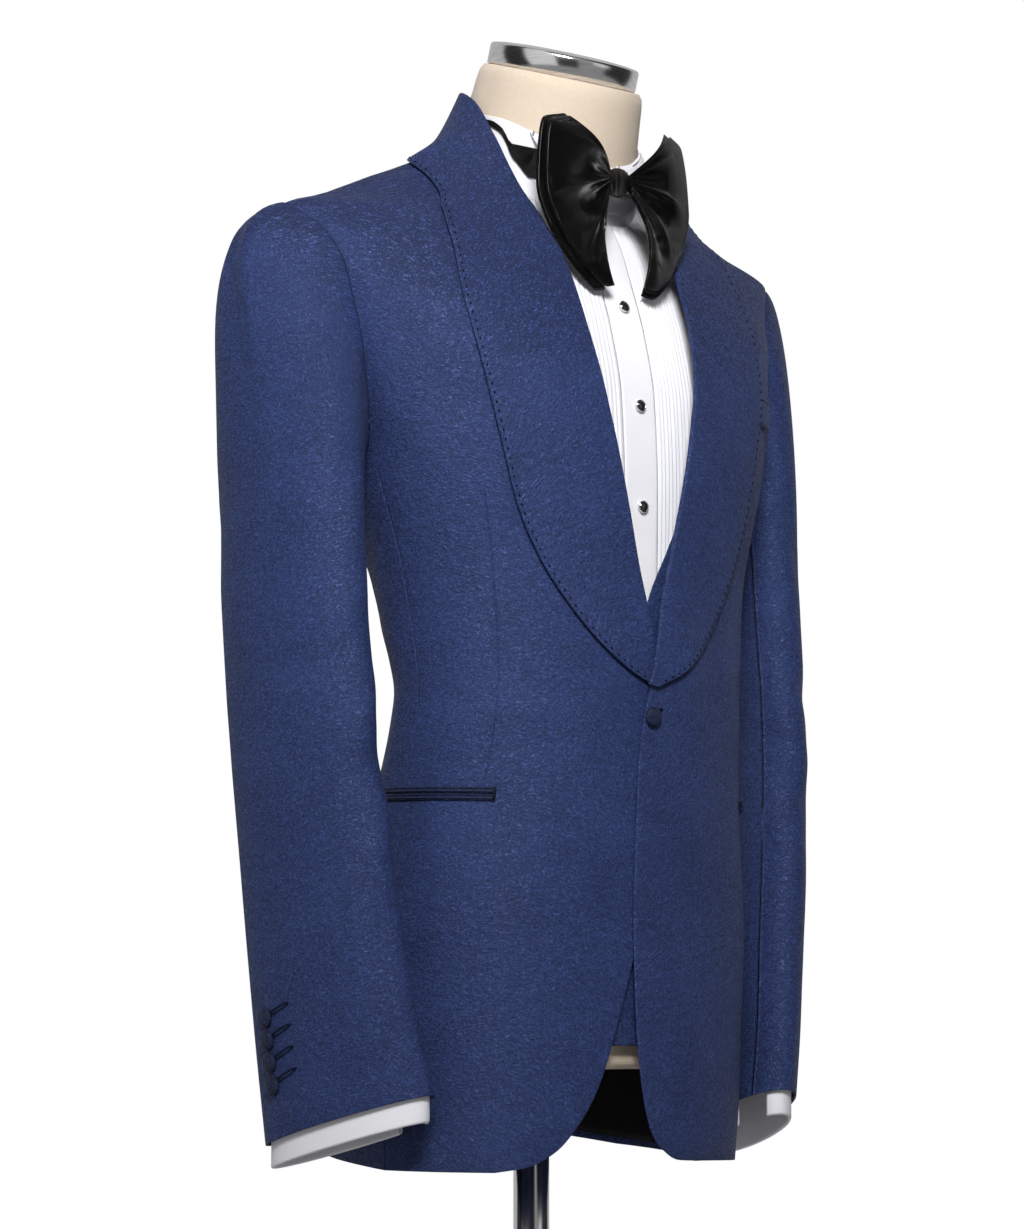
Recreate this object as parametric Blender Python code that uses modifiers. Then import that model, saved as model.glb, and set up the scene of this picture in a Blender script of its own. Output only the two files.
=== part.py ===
"""A one-button dinner jacket with its vest, pleated shirt and bow tie, on a limbless dress form.

Metres, +Z up. The origin is on the floor, under the pole. The front faces -Y and the
wearer's left is +X. The clothes are walls a few millimetres apart, built as layers of one
body surface: a point of that surface is an angle round the body (0 at the front, 90 at the
wearer's side, 180 at the back), a height, and a lift off the jacket's outer face.
"""
import math

import bmesh
import bpy
import numpy as np
from mathutils import Matrix, Vector

# ---------------------------------------------------------------- driving sizes
SEAM = 0.0003               # gap where two pieces are sewn or rest on each other
JACKET_WALL = 0.0018
LAPEL_WALL = 0.0015
VEST_WALL = 0.0012
SHIRT_WALL = 0.0010
LINING_WALL = 0.0010
SATIN_WALL = 0.0012

VEST_LIFT = -0.0054         # outer face of each layer, measured from the jacket's
SHIRT_LIFT = -0.0100
BIB_OUT = SEAM + SHIRT_WALL  # outer faces of the pleated bib and the placket, off the shirt
PLACKET_OUT = BIB_OUT + 0.0006
FORM_LIFT = -0.0150
LINING_LIFT = -0.0037
ON_CLOTH = 0.0016           # outer face of a thin strip that lies on the jacket
STRIP_WALL = 0.0010

OVERLAP_LIFT = 0.0024       # the left front lies over the right one
BREAK_LIFT = 0.0048         # and over the end of the right lapel, just above the button
BREAK_HEIGHT = 1.122
LAPEL_FOLD = 0.0018         # radius of the fold along the roll line
LAPEL_LIFT = 0.0041         # outer face of the lapel at its edge, above the front below it

SIDE_SEAM_FRONT = 82.0      # degrees round the body
SIDE_SEAM_BACK = 118.0
LAYER_HEIGHTS = (0.862, 1.000, 1.060, 1.105, 1.150, 1.205, 1.265, 1.325, 1.380, 1.430)
YOKE_STEPS = (0.5, 1.0)     # rows between the last of those heights and the neck
SEAM_TURN = 0.11            # half a seam's gap, in degrees

# The body: a rounded section at each height. half_width is across, front and back are the
# Y of the section's ends, side the Y of its widest point, and squareness 2 is an ellipse.
BODY = [
    # height, half_width, front, side, back, front_squareness, back_squareness
    (0.760, 0.1470, -0.1270, -0.0050, 0.1130, 2.10, 2.70),
    (0.850, 0.1490, -0.1310, -0.0060, 0.1140, 2.25, 2.60),
    (0.950, 0.1475, -0.1320, -0.0100, 0.0980, 2.40, 2.20),
    (1.030, 0.1430, -0.1350, -0.0200, 0.0670, 2.20, 1.80),
    (1.100, 0.1390, -0.1340, -0.0300, 0.0470, 2.25, 1.70),
    (1.180, 0.1480, -0.1310, -0.0240, 0.0600, 2.25, 1.90),
    (1.250, 0.1660, -0.1320, -0.0160, 0.0850, 2.35, 2.20),
    (1.310, 0.1820, -0.1290, -0.0120, 0.1010, 2.40, 2.40),
    (1.360, 0.1960, -0.1180, -0.0110, 0.1040, 2.20, 2.30),
    (1.400, 0.2100, -0.1040, -0.0100, 0.0990, 1.80, 2.10),
    (1.425, 0.2210, -0.0950, -0.0090, 0.0920, 1.50, 1.90),
    (1.435, 0.2220, -0.0910, -0.0090, 0.0880, 1.38, 1.75),
    (1.448, 0.1900, -0.0890, -0.0090, 0.0830, 1.25, 1.55),
    (1.463, 0.1580, -0.0888, -0.0095, 0.0780, 1.18, 1.35),
    (1.478, 0.1240, -0.0895, -0.0110, 0.0710, 1.22, 1.30),
    (1.490, 0.1000, -0.0925, -0.0130, 0.0635, 1.40, 1.40),
    (1.501, 0.0840, -0.0955, -0.0160, 0.0570, 1.70, 1.70),
    (1.515, 0.0735, -0.0980, -0.0208, 0.0500, 2.00, 2.00),
    (1.545, 0.0694, -0.1042, -0.0310, 0.0362, 2.00, 2.00),
]

# The neck: a ring at each height along an axis that leans forward.
NECK_BASE = Vector((0.0, -0.0082, 1.478))
NECK_LEAN = math.radians(18.9)
NECK_FRONT = 1.04           # the ring's depth in front and behind, as a share of its radius
NECK_BACK = 0.95
NECK = [
    # along, radius
    (-0.010, 0.0700),
    (0.030, 0.0655),
    (0.060, 0.0622),
    (0.078, 0.0602),
    (0.086, 0.0570),
]

# The fronts, from the hem to the neck. A negative angle is past the centre line.
FRONT = [
    # right_angle, right_height, left_angle, left_height, side_angle, side_height
    (50.0, 0.7785, 22.0, 0.7838, 82.0, 0.7790),
    (41.0, 0.7820, 12.0, 0.7850, 82.0, 0.8000),
    (33.0, 0.7915, 5.0, 0.7920, 82.0, 0.8230),
    (26.0, 0.8090, 0.0, 0.8040, 82.0, 0.8480),
    (20.0, 0.8320, -3.5, 0.8260, 82.0, 0.8750),
    (15.0, 0.8620, -6.0, 0.8580, 82.0, 0.9050),
    (10.0, 0.8980, -7.3, 0.8950, 82.0, 0.9380),
    (4.0, 0.9450, -8.0, 0.9400, 82.0, 0.9750),
    (-2.0, 1.0000, -8.3, 1.0000, 82.0, 1.0200),
    (-6.0, 1.0500, -7.6, 1.0500, 82.0, 1.0650),
    (-7.0, 1.0850, -5.5, 1.0850, 82.0, 1.1000),
    (-3.2, 1.1080, -3.2, 1.1080, 82.0, 1.1220),
    (1.5, 1.1350, 1.5, 1.1350, 82.0, 1.1500),
    (7.0, 1.1750, 7.0, 1.1750, 82.0, 1.1850),
    (12.5, 1.2250, 12.5, 1.2250, 82.0, 1.2250),
    (16.8, 1.2660, 16.8, 1.2660, 82.0, 1.2600),
    (21.0, 1.3060, 21.0, 1.3060, 79.8, 1.3000),
    (26.0, 1.3520, 26.0, 1.3520, 78.5, 1.3420),
    (31.5, 1.3920, 31.5, 1.3920, 80.0, 1.3800),
    (39.0, 1.4240, 39.0, 1.4240, 83.5, 1.4120),
    (50.0, 1.4580, 50.0, 1.4580, 91.0, 1.4340),
    (63.0, 1.4800, 63.0, 1.4800, 93.0, 1.4580),
    (77.0, 1.4930, 77.0, 1.4930, 93.0, 1.4800),
    (86.0, 1.4970, 86.0, 1.4970, 93.0, 1.4960),
]

# The side panels' two seams, row by row, and the backs from the hem to the neck.
SIDE = [
    # front_height, back_height
    (0.7790, 0.7880), (0.8480, 0.8550), (0.9050, 0.9080), (0.9750, 0.9750), (1.0200, 1.0200),
    (1.0650, 1.0650), (1.1000, 1.1000), (1.1220, 1.1220), (1.1500, 1.1500), (1.1850, 1.1850),
    (1.2250, 1.2250), (1.2585, 1.2585),
]
BACK = [
    # side_angle, side_height, centre_height
    (118.0, 0.7880, 0.8140),
    (118.0, 0.8550, 0.8700),
    (118.0, 0.9080, 0.9160),
    (118.0, 0.9750, 0.9780),
    (118.0, 1.0200, 1.0200),
    (118.0, 1.0650, 1.0650),
    (118.0, 1.1000, 1.1000),
    (118.0, 1.1220, 1.1220),
    (118.0, 1.1500, 1.1500),
    (118.0, 1.1850, 1.1850),
    (118.0, 1.2250, 1.2250),
    (118.0, 1.2590, 1.2600),
    (110.0, 1.2850, 1.2880),
    (107.0, 1.3300, 1.3350),
    (105.5, 1.3750, 1.3830),
    (101.0, 1.4120, 1.4220),
    (93.0, 1.4345, 1.4480),
    (93.0, 1.4560, 1.4660),
    (93.0, 1.4760, 1.4790),
    (93.0, 1.4900, 1.4890),
]

# The shawl collar, from its lower tip at the button to the centre of the back. stand is how
# far it goes down inside the roll line, and bridge 1 spans the hollow beside the neck.
COLLAR = [
    # roll_angle, roll_height, edge_angle, edge_height, stand, roll_lift, bridge
    (-4.5, 1.1060, -1.5, 1.1050, 0.0015, 0.0036, 0.0),
    (-1.5, 1.1260, 10.0, 1.1145, 0.0016, 0.0037, 0.0),
    (3.0, 1.1600, 22.0, 1.1310, 0.0018, 0.0045, 0.0),
    (7.5, 1.1920, 33.5, 1.1570, 0.0018, 0.0052, 0.0),
    (11.0, 1.2250, 42.5, 1.1900, 0.0018, 0.0056, 0.0),
    (14.8, 1.2620, 47.1, 1.2230, 0.0018, 0.0058, 0.0),
    (18.0, 1.2940, 49.5, 1.2620, 0.0018, 0.0058, 0.0),
    (23.5, 1.3460, 52.8, 1.3120, 0.0018, 0.0056, 0.0),
    (30.0, 1.4000, 58.5, 1.3680, 0.0020, 0.0054, 0.0),
    (38.0, 1.4330, 64.5, 1.4180, 0.0030, 0.0050, 0.1),
    (51.0, 1.4670, 72.0, 1.4500, 0.0045, 0.0036, 0.5),
    (70.0, 1.5010, 84.0, 1.4730, 0.0090, 0.0000, 1.0),
    (95.0, 1.5310, 102.0, 1.4870, 0.0220, 0.0000, 1.0),
    (130.0, 1.5440, 134.0, 1.4890, 0.0320, 0.0000, 1.0),
    (180.0, 1.5480, 180.0, 1.4900, 0.0360, 0.0000, 1.0),
]
COLLAR_OUT = 0.0054         # inner face of the collar's stand, off the neck
COLLAR_SPREAD = 0.0016      # how much further its edge stands off the shoulder than the lapel's
COLLAR_STATIONS = (0, 1, 2, 3, 4, 5, 6, 6.8, 7.4, 8.2, 9, 9.7, 10.3, 11, 11.5, 12, 12.4, 12.8, 13.2, 13.6, 14)
COLLAR_END = 179.7          # the two halves meet at the centre of the back

# The armhole, round from the front over the shoulder, and the sleeve below it. depth and
# width are half sizes fore and aft and across, turn swings the front of the section inward
# and rise lifts it.
ARMHOLE = [
    # round, angle, height
    (0, 78.7, 1.335), (30, 80.5, 1.385), (60, 85.0, 1.420), (90, 93.0, 1.4365),
    (120, 100.0, 1.418), (150, 105.0, 1.385), (180, 107.0, 1.345), (210, 108.5, 1.305),
    (240, 108.0, 1.270), (270, 97.0, 1.2575), (300, 85.0, 1.2625), (330, 80.0, 1.295),
    (360, 78.7, 1.335),
]
ARMHOLE_MIDDLE = (93.0, 1.345)
SLEEVE = [
    # height, centre_x, centre_y, depth, width, turn, rise
    (1.235, 0.2079, 0.0034, 0.0622, 0.0320, 12, 0),
    (1.180, 0.2081, -0.0010, 0.0616, 0.0305, 13, 0),
    (1.120, 0.2080, -0.0071, 0.0612, 0.0292, 14, 0),
    (1.060, 0.2055, -0.0122, 0.0608, 0.0285, 15, 1),
    (1.000, 0.2006, -0.0165, 0.0612, 0.0280, 16, 3),
    (0.930, 0.1935, -0.0207, 0.0625, 0.0275, 17, 7),
    (0.870, 0.1870, -0.0254, 0.0640, 0.0272, 18, 11),
    (0.8125, 0.1785, -0.0300, 0.0662, 0.0270, 20, 15),
]
HEAD_STEPS = (0.0, 0.12, 0.28, 0.50, 0.75)
SLEEVE_LIFT = 0.0023        # where the sleeve starts, above the panels at the armhole
FRONT_SLEEVE_SEAM = -42.0   # degrees round the sleeve
BACK_SLEEVE_SEAM = 152.0
SLEEVE_SEAM_TURN = 1.1      # half the gap at those seams
SHIRT_SEAM_TURN = 1.7       # and at the seams of the shirt's sleeve
CUFF_SHOWS = 0.0165         # how far the shirt cuff comes out of the sleeve
CUFF_HEIGHT = 0.070
CUFF_CLEAR = 0.0042         # from the sleeve's outer face to the cuff's
CUFF_FOLD = 0.0016
CUFF_OPENING = (-62.0, -22.0)

PLEATS = 11
PLEAT_PITCH = 0.0035
PLEAT_RISE = 0.0007
PLEAT_FACE = 0.9            # share of the pitch that slopes up, before the step down
PLACKET_HALF = 0.0150
BIB_BOTTOM = 1.150          # one of the layer heights, behind the vest
STUD_HEIGHTS = (1.379, 1.304, 1.232)
STUD_RADIUS = 0.0044
STUD_DEPTH = 0.0030

BUTTON_HEIGHT = 1.085
FRONT_BUTTON_RADIUS = 0.0068
FRONT_BUTTON_ANGLE = -2.4
CUFF_BUTTON_RADIUS = 0.0068
CUFF_BUTTON_PITCH = 0.0140
CUFF_BUTTON_FIRST = 0.033   # lowest cuff button above the sleeve's hem
CUFF_BUTTON_ROUND = 128.0
POCKET_HEIGHT = 1.030
POCKET_JET = 0.0044
POCKET_ANGLES = (54.3, 108.0)
WELT_ANGLES = (31.0, 62.5)
WELT_HEIGHTS = (1.306, 1.328)

KNOT = Vector((0.0, -0.0985, 1.467))
KNOT_SIZE = (0.0088, 0.0085, 0.0105)
LEAF_PUFF = 0.008           # how far the middle of a leaf stands forward
LEFT_LEAF_WIDER = 0.007     # at its upper corner
BAND_ALONG = (0.010, 0.031)
BAND_LEAST = 0.004          # its least height, at the side of the neck
BAND_OUT = 0.0021
BAND_FOOT = 0.006           # the shirt collar's lower edge, above the seam of the form's neck
COLLAR_BAND_TOP = 0.047
COLLAR_FRONT_DIP = 0.019    # how much lower the stand is in front than at the side
WING_SPAN = 42.0            # degrees of the collar's top that each wing folds down from
WING_REACH = 0.0175
WING_OUT = 0.0048           # off the neck at the fold, clear of the tie's band
WING_EDGE = 0.0015          # the wing's depth where it runs out at the side
BAND_ANGLES = [2 + 356 * k / 28 for k in range(29)]
# One leaf of the bow: its free end, from the top corner round to the bottom one, from the
# knot's centre.
LEAF_END = [
    # out, up, back
    (0.043, 0.042, 0.004), (0.058, 0.037, 0.008), (0.0635, 0.012, 0.006), (0.065, -0.012, 0.004),
    (0.058, -0.037, 0.000), (0.047, -0.056, -0.004), (0.036, -0.070, -0.008),
    (0.022, -0.080, -0.010), (0.013, -0.078, -0.009),
]
LEAVES = [
    # back, grow, turn
    (0.0000, 1.00, 0.0),
    (0.0066, 1.04, 2.0),
]

FORM_BOTTOM = 0.852
CAP_RADIUS = 0.0548
CAP_HEIGHT = 0.0160
POLE_RADIUS = 0.0127
BASE_RADIUS = 0.170
BASE_HEIGHT = 0.018

FINISHES = {
    # colour, roughness, metallic
    "navy_jacquard": ((0.035, 0.055, 0.16), 0.50, 0.0),
    "black_lining": ((0.012, 0.012, 0.014), 0.45, 0.0),
    "white_shirting": ((0.82, 0.83, 0.88), 0.80, 0.0),
    "black_satin": ((0.012, 0.012, 0.013), 0.30, 0.0),
    "beige_linen": ((0.66, 0.58, 0.46), 0.90, 0.0),
    "brushed_chrome": ((0.62, 0.62, 0.63), 0.25, 1.0),
    "black_onyx": ((0.010, 0.010, 0.012), 0.10, 0.0),
    "white_button": ((0.85, 0.85, 0.88), 0.30, 0.0),
}


# ---------------------------------------------------------------- curves and surfaces
class Table:
    """A smooth curve through a table's rows that never overshoots them."""

    def __init__(self, rows, keys=None):
        values = np.array(rows, dtype=float)
        self.keys = values[:, 0] if keys is None else np.array(keys, dtype=float)
        self.values = values[:, 1:] if keys is None else values
        step = np.diff(self.keys)[:, None]
        rise = np.diff(self.values, axis=0) / step
        self.slopes = np.zeros_like(self.values)
        self.slopes[0], self.slopes[-1] = rise[0], rise[-1]
        for i in range(1, len(self.keys) - 1):
            before, after = 2 * step[i] + step[i - 1], step[i] + 2 * step[i - 1]
            same = rise[i - 1] * rise[i] > 0
            low = np.where(same, rise[i - 1], 1)
            high = np.where(same, rise[i], 1)
            self.slopes[i] = np.where(same, (before + after) / (before / low + after / high), 0)

    def at(self, key):
        key = min(max(key, self.keys[0]), self.keys[-1])
        i = int(np.searchsorted(self.keys, key, side="right")) - 1
        i = min(max(i, 0), len(self.keys) - 2)
        step = self.keys[i + 1] - self.keys[i]
        t = (key - self.keys[i]) / step
        return ((1 + 2 * t) * (1 - t) ** 2 * self.values[i] + t * (1 - t) ** 2 * step * self.slopes[i]
                + t * t * (3 - 2 * t) * self.values[i + 1] + t * t * (t - 1) * step * self.slopes[i + 1])


BODY_CURVE = Table(BODY)
NECK_CURVE = Table(NECK)
ARMHOLE_CURVE = Table(ARMHOLE)
SLEEVE_CURVE = Table([(-row[0],) + row[1:] for row in SLEEVE])
COLLAR_CURVE = Table(COLLAR, keys=range(len(COLLAR)))


def blend(low, high, value):
    """0 below low, 1 above high, and a soft step between."""
    t = min(max((value - low) / (high - low), 0.0), 1.0)
    return t * t * (3 - 2 * t)


def body_point(angle, height):
    half_width, front, side, back, front_square, back_square = BODY_CURVE.at(height)
    forward, across = math.cos(math.radians(angle)), math.sin(math.radians(angle))
    depth, squareness = (side - front, front_square) if forward > 0 else (back - side, back_square)
    reach = (abs(forward / depth) ** squareness
             + abs(across / half_width) ** squareness) ** (-1 / squareness)
    return Vector((reach * across, side - reach * forward, height))


def body_normal(angle, height):
    height = min(max(height, BODY[0][0] + 0.001), BODY[-1][0] - 0.001)
    around = body_point(angle + 4.0, height) - body_point(angle - 4.0, height)
    up = body_point(angle, height + 0.001) - body_point(angle, height - 0.001)
    return around.cross(up).normalized()


def skin(angle, height, lift=0.0):
    """The point of the body surface at this angle and height, lifted off it."""
    return body_point(angle, height) + body_normal(angle, height) * lift


def neck_point(angle, along, out=0.0):
    """A point of the dress form's neck, on a ring that leans forward with it."""
    radius = NECK_CURVE.at(along)[0] + out
    forward, across = math.cos(math.radians(angle)), math.sin(math.radians(angle))
    depth = radius * (NECK_FRONT if forward > 0 else NECK_BACK)
    lean, upright = math.sin(NECK_LEAN), math.cos(NECK_LEAN)
    centre = NECK_BASE + Vector((0, -lean, upright)) * along
    return centre + Vector((radius * across, -depth * forward * upright, -depth * forward * lean))


def neck_along(angle, height):
    """How far along the neck its ring reaches this height at this angle."""
    along = 0.0
    for _ in range(4):
        along += (height - neck_point(angle, along).z) / math.cos(NECK_LEAN)
    return along


def neck_seam(angle):
    """How far along the neck it comes out of the shoulders at this angle."""
    low, high = -0.010, 0.040
    for _ in range(20):
        middle = (low + high) / 2
        neck = neck_point(angle, middle)
        shoulder = skin(angle, neck.z, FORM_LIFT)
        if shoulder.xy.length > neck.xy.length:
            low = middle
        else:
            high = middle
    return high


def yoke_height(angle, share):
    """Height between the topmost full ring of a layer and the neck's seam."""
    low = LAYER_HEIGHTS[-1]
    return low + (neck_point(angle, neck_seam(angle)).z - low) * share


def overlap_lift(side, angle, height):
    """How far the left front stands off to lie over the right one and its lapel."""
    if side < 0:
        return 0.0
    at_break = math.exp(-((height - BREAK_HEIGHT) / 0.035) ** 2)
    return (1 - blend(9, 36, angle)) * (OVERLAP_LIFT + BREAK_LIFT * at_break)


def sleeve_ring_point(height, round_angle, inset=0.0):
    """A point of the sleeve's outer face; it is worked out for the wearer's left."""
    centre_x, centre_y, depth, width, turn, rise = SLEEVE_CURVE.at(-height)
    turn, round_angle = math.radians(turn), math.radians(round_angle)
    forward = (depth - inset) * math.cos(round_angle)
    outward = (width - inset) * math.sin(round_angle)
    return Vector((centre_x - forward * math.sin(turn) + outward * math.cos(turn),
                   centre_y - forward * math.cos(turn) - outward * math.sin(turn),
                   height + forward * math.tan(math.radians(rise))))


def sleeve_head_point(step, round_angle, inset=0.0, lift=SLEEVE_LIFT, tight=1.0):
    """A point between the armhole and the sleeve's first full ring, on a soft arch."""
    round_angle %= 360
    angle, height = ARMHOLE_CURVE.at(round_angle)
    middle_angle, middle_height = ARMHOLE_MIDDLE
    start = skin(middle_angle + (angle - middle_angle) * tight,
                 middle_height + (height - middle_height) * tight, lift)
    end = sleeve_ring_point(SLEEVE[0][0], round_angle, inset)
    top = math.sin(math.radians(round_angle))
    forward = math.cos(math.radians(round_angle))
    span = (end - start).length
    leave = Vector((0.62 + 0.20 * top - 0.30 * forward, 0.49 * top - 0.25 * forward,
                    0.33 * top - 0.45)) * span
    arrive = Vector((0.0, 0.0, -1.0)) * span * 1.2
    t = step
    return (start * (1 + 2 * t) * (1 - t) ** 2 + leave * t * (1 - t) ** 2
            + end * t * t * (3 - 2 * t) + arrive * t * t * (t - 1))


# ---------------------------------------------------------------- making objects
def finish(name):
    material = bpy.data.materials.get(name)
    if material is None:
        colour, roughness, metallic = FINISHES[name]
        material = bpy.data.materials.new(name)
        material.use_nodes = True
        shader = material.node_tree.nodes["Principled BSDF"]
        shader.inputs["Base Color"].default_value = (*colour, 1)
        shader.inputs["Roughness"].default_value = roughness
        shader.inputs["Metallic"].default_value = metallic
        material.diffuse_color = (*colour, 1)
    return material


def add_object(name, mesh, finish_name, collection):
    mesh.materials.append(finish(finish_name))
    piece = bpy.data.objects.new(name, mesh)
    collection.objects.link(piece)
    return piece


def handed(rows, side):
    """The same rows of points for the wearer's other side, still facing out."""
    if side > 0:
        return rows
    return [[Vector((-p.x, p.y, p.z)) for p in reversed(row)] for row in rows]


def mirrored_order(corners, inward=False):
    """The corners of a face, begun so that both sides of the body are cut alike."""
    if sum(corner.co.x for corner in corners) < 0:
        corners = corners[1:] + corners[:1]
    return (corners[0],) + corners[:0:-1] if inward else corners


def loft(name, rows, finish_name, collection, wall=None, around=False, inner=None):
    """A surface through rows of points: thickened inward by a wall, closed by rows of inner
    points, or capped as a solid.

    Rows run upward and each runs round the body from the wearer's right to the left across
    the front, so that the face with the points is the outer one.
    """
    count = len(rows[0])
    mesh = bpy.data.meshes.new(name)
    shape = bmesh.new()
    grid = [[shape.verts.new(p) for p in row] for row in rows]
    for low, high in zip(grid, grid[1:]):
        for j in range(count if around else count - 1):
            k = (j + 1) % count
            shape.faces.new(mirrored_order((low[j], low[k], high[k], high[j])))
    if inner is not None:
        back = [[shape.verts.new(p) for p in row] for row in inner]
        for low, high in zip(back, back[1:]):
            for j in range(count - 1):
                k = j + 1
                shape.faces.new(mirrored_order((low[j], low[k], high[k], high[j]), inward=True))
        rim = grid[0] + [row[-1] for row in grid[1:-1]] + grid[-1][::-1] + [r[0] for r in grid[-2:0:-1]]
        foot = back[0] + [row[-1] for row in back[1:-1]] + back[-1][::-1] + [r[0] for r in back[-2:0:-1]]
        for j in range(len(rim)):
            k = (j + 1) % len(rim)
            shape.faces.new((rim[k], rim[j], foot[j], foot[k]))
    elif wall is None:
        shape.faces.new(list(reversed(grid[0])))
        shape.faces.new(grid[-1])
    for face in shape.faces:
        face.smooth = len(face.verts) == 4
    shape.to_mesh(mesh)
    shape.free()
    piece = add_object(name, mesh, finish_name, collection)
    if wall is not None:
        shell = piece.modifiers.new("wall", "SOLIDIFY")
        shell.thickness = wall
        shell.offset = -1.0
    return piece


def even(low, high, count):
    return [low + (high - low) * i / (count - 1) for i in range(count)]


def side_name(side):
    return "left" if side > 0 else "right"


def between(table, columns):
    """Rows of places between two edges that are given, row by row, as angle and height."""
    return [[(first_angle + (last_angle - first_angle) * t, first_height + (last_height - first_height) * t)
             for t in even(0.0, 1.0, columns)]
            for first_angle, first_height, last_angle, last_height in table]


def panel(name, places, lift, wall, finish_name, collection, side=1):
    """A wall over rows of places on the body, its outer face at the lift there."""
    outer = [[skin(a, h, lift(a, h)) for a, h in row] for row in places]
    inner = [[skin(a, h, lift(a, h) - wall) for a, h in row] for row in places]
    return loft(name, handed(outer, side), finish_name, collection, inner=handed(inner, side))


def dome(name, centre, outward, radius, depth, finish_name, collection):
    """A round button, its flat back at the centre point and its dome facing outward."""
    shape = bmesh.new()
    bmesh.ops.create_uvsphere(shape, u_segments=12, v_segments=4, radius=1.0)
    turn = Vector((0, 0, 1)).rotation_difference(outward).to_matrix().to_4x4()
    middle = centre + outward * depth / 2
    size = Matrix.Diagonal((radius, radius, depth / 2, 1))
    bmesh.ops.transform(shape, matrix=Matrix.Translation(middle) @ turn @ size, verts=shape.verts)
    mesh = bpy.data.meshes.new(name)
    shape.to_mesh(mesh)
    shape.free()
    mesh.shade_smooth()
    return add_object(name, mesh, finish_name, collection)


def disc(name, centre, outward, radii, depths, finish_name, collection, segments=16):
    """A turned solid: the radius at each depth along the outward direction."""
    outward = outward.normalized()
    across = outward.orthogonal().normalized()
    other = outward.cross(across)
    rows = []
    for radius, depth in zip(radii, depths):
        rows.append([centre + outward * depth
                     + (across * math.cos(a) + other * math.sin(a)) * radius
                     for a in (2 * math.pi * k / segments for k in range(segments))])
    return loft(name, rows, finish_name, collection, around=True)


# ---------------------------------------------------------------- dress form and stand
def dress_form(collection):
    angles = even(0, 360, 33)[:-1]
    rows = [[skin(a, height, FORM_LIFT) for a in angles] for height in (FORM_BOTTOM, *LAYER_HEIGHTS)]
    rows += [[skin(a, yoke_height(a, share), FORM_LIFT) for a in angles] for share in YOKE_STEPS]
    rows.append([neck_point(a, neck_seam(a) + 0.002, -0.0006) for a in angles])
    bottom = rows[0]
    centre = sum(bottom, Vector()) / len(bottom)
    rows.insert(0, [centre + (p - centre) * 0.93 - Vector((0, 0, 0.006)) for p in bottom])
    for along in (0.040, 0.062, 0.0835):
        rows.append([neck_point(a, along) for a in angles])
    loft("form_torso", rows, "beige_linen", collection, around=True)

    lean = Vector((0, -math.sin(NECK_LEAN), math.cos(NECK_LEAN)))
    seat = NECK_BASE + lean * (0.0835 + SEAM)
    disc("neck_cap", seat, lean, (CAP_RADIUS, CAP_RADIUS, CAP_RADIUS - 0.0012, CAP_RADIUS * 0.55),
         (0.0, CAP_HEIGHT - 0.0015, CAP_HEIGHT, CAP_HEIGHT + 0.0030), "brushed_chrome", collection, 24)
    up = Vector((0, 0, 1))
    pole_top = FORM_BOTTOM - 0.006 - SEAM
    disc("pole", Vector((0, 0, 0)), up, (POLE_RADIUS, POLE_RADIUS), (BASE_HEIGHT + SEAM, pole_top),
         "brushed_chrome", collection, 20)
    disc("base", Vector((0, 0, 0)), up, (BASE_RADIUS, BASE_RADIUS, BASE_RADIUS - 0.006),
         (0.0, BASE_HEIGHT - 0.006, BASE_HEIGHT), "brushed_chrome", collection, 32)


# ---------------------------------------------------------------- jacket
def jacket_fronts(collection):
    for side in (-1, 1):
        table = []
        for right_angle, right_height, left_angle, left_height, seam_angle, seam_height in FRONT:
            edge = (left_angle, left_height) if side > 0 else (right_angle, right_height)
            table.append((*edge, seam_angle - SEAM_TURN, seam_height))
        panel(f"front_{side_name(side)}", between(table, 9), lambda a, h: overlap_lift(side, a, h),
              JACKET_WALL, "navy_jacquard", collection, side)


def jacket_sides(collection):
    for side in (-1, 1):
        table = [(SIDE_SEAM_FRONT + SEAM_TURN, front_height, SIDE_SEAM_BACK - SEAM_TURN, back_height)
                 for front_height, back_height in SIDE]
        panel(f"side_{side_name(side)}", between(table, 4), lambda a, h: 0.0,
              JACKET_WALL, "navy_jacquard", collection, side)


def jacket_backs(collection):
    for side in (-1, 1):
        table = [(angle + SEAM_TURN, height, 180 - SEAM_TURN, centre_height)
                 for angle, height, centre_height in BACK]
        panel(f"back_{side_name(side)}", between(table, 8), lambda a, h: 0.0,
              JACKET_WALL, "navy_jacquard", collection, side)
    low = BACK[0][2] - 0.002
    places = [[(a, low - 0.024 * math.sin(math.radians(a)) ** 2 + t * 0.12)
               for a in even(104, 256, 13)] for t in even(0.0, 1.0, 3)]
    panel("back_lining", places, lambda a, h: LINING_LIFT, LINING_WALL, "black_lining", collection)


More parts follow.
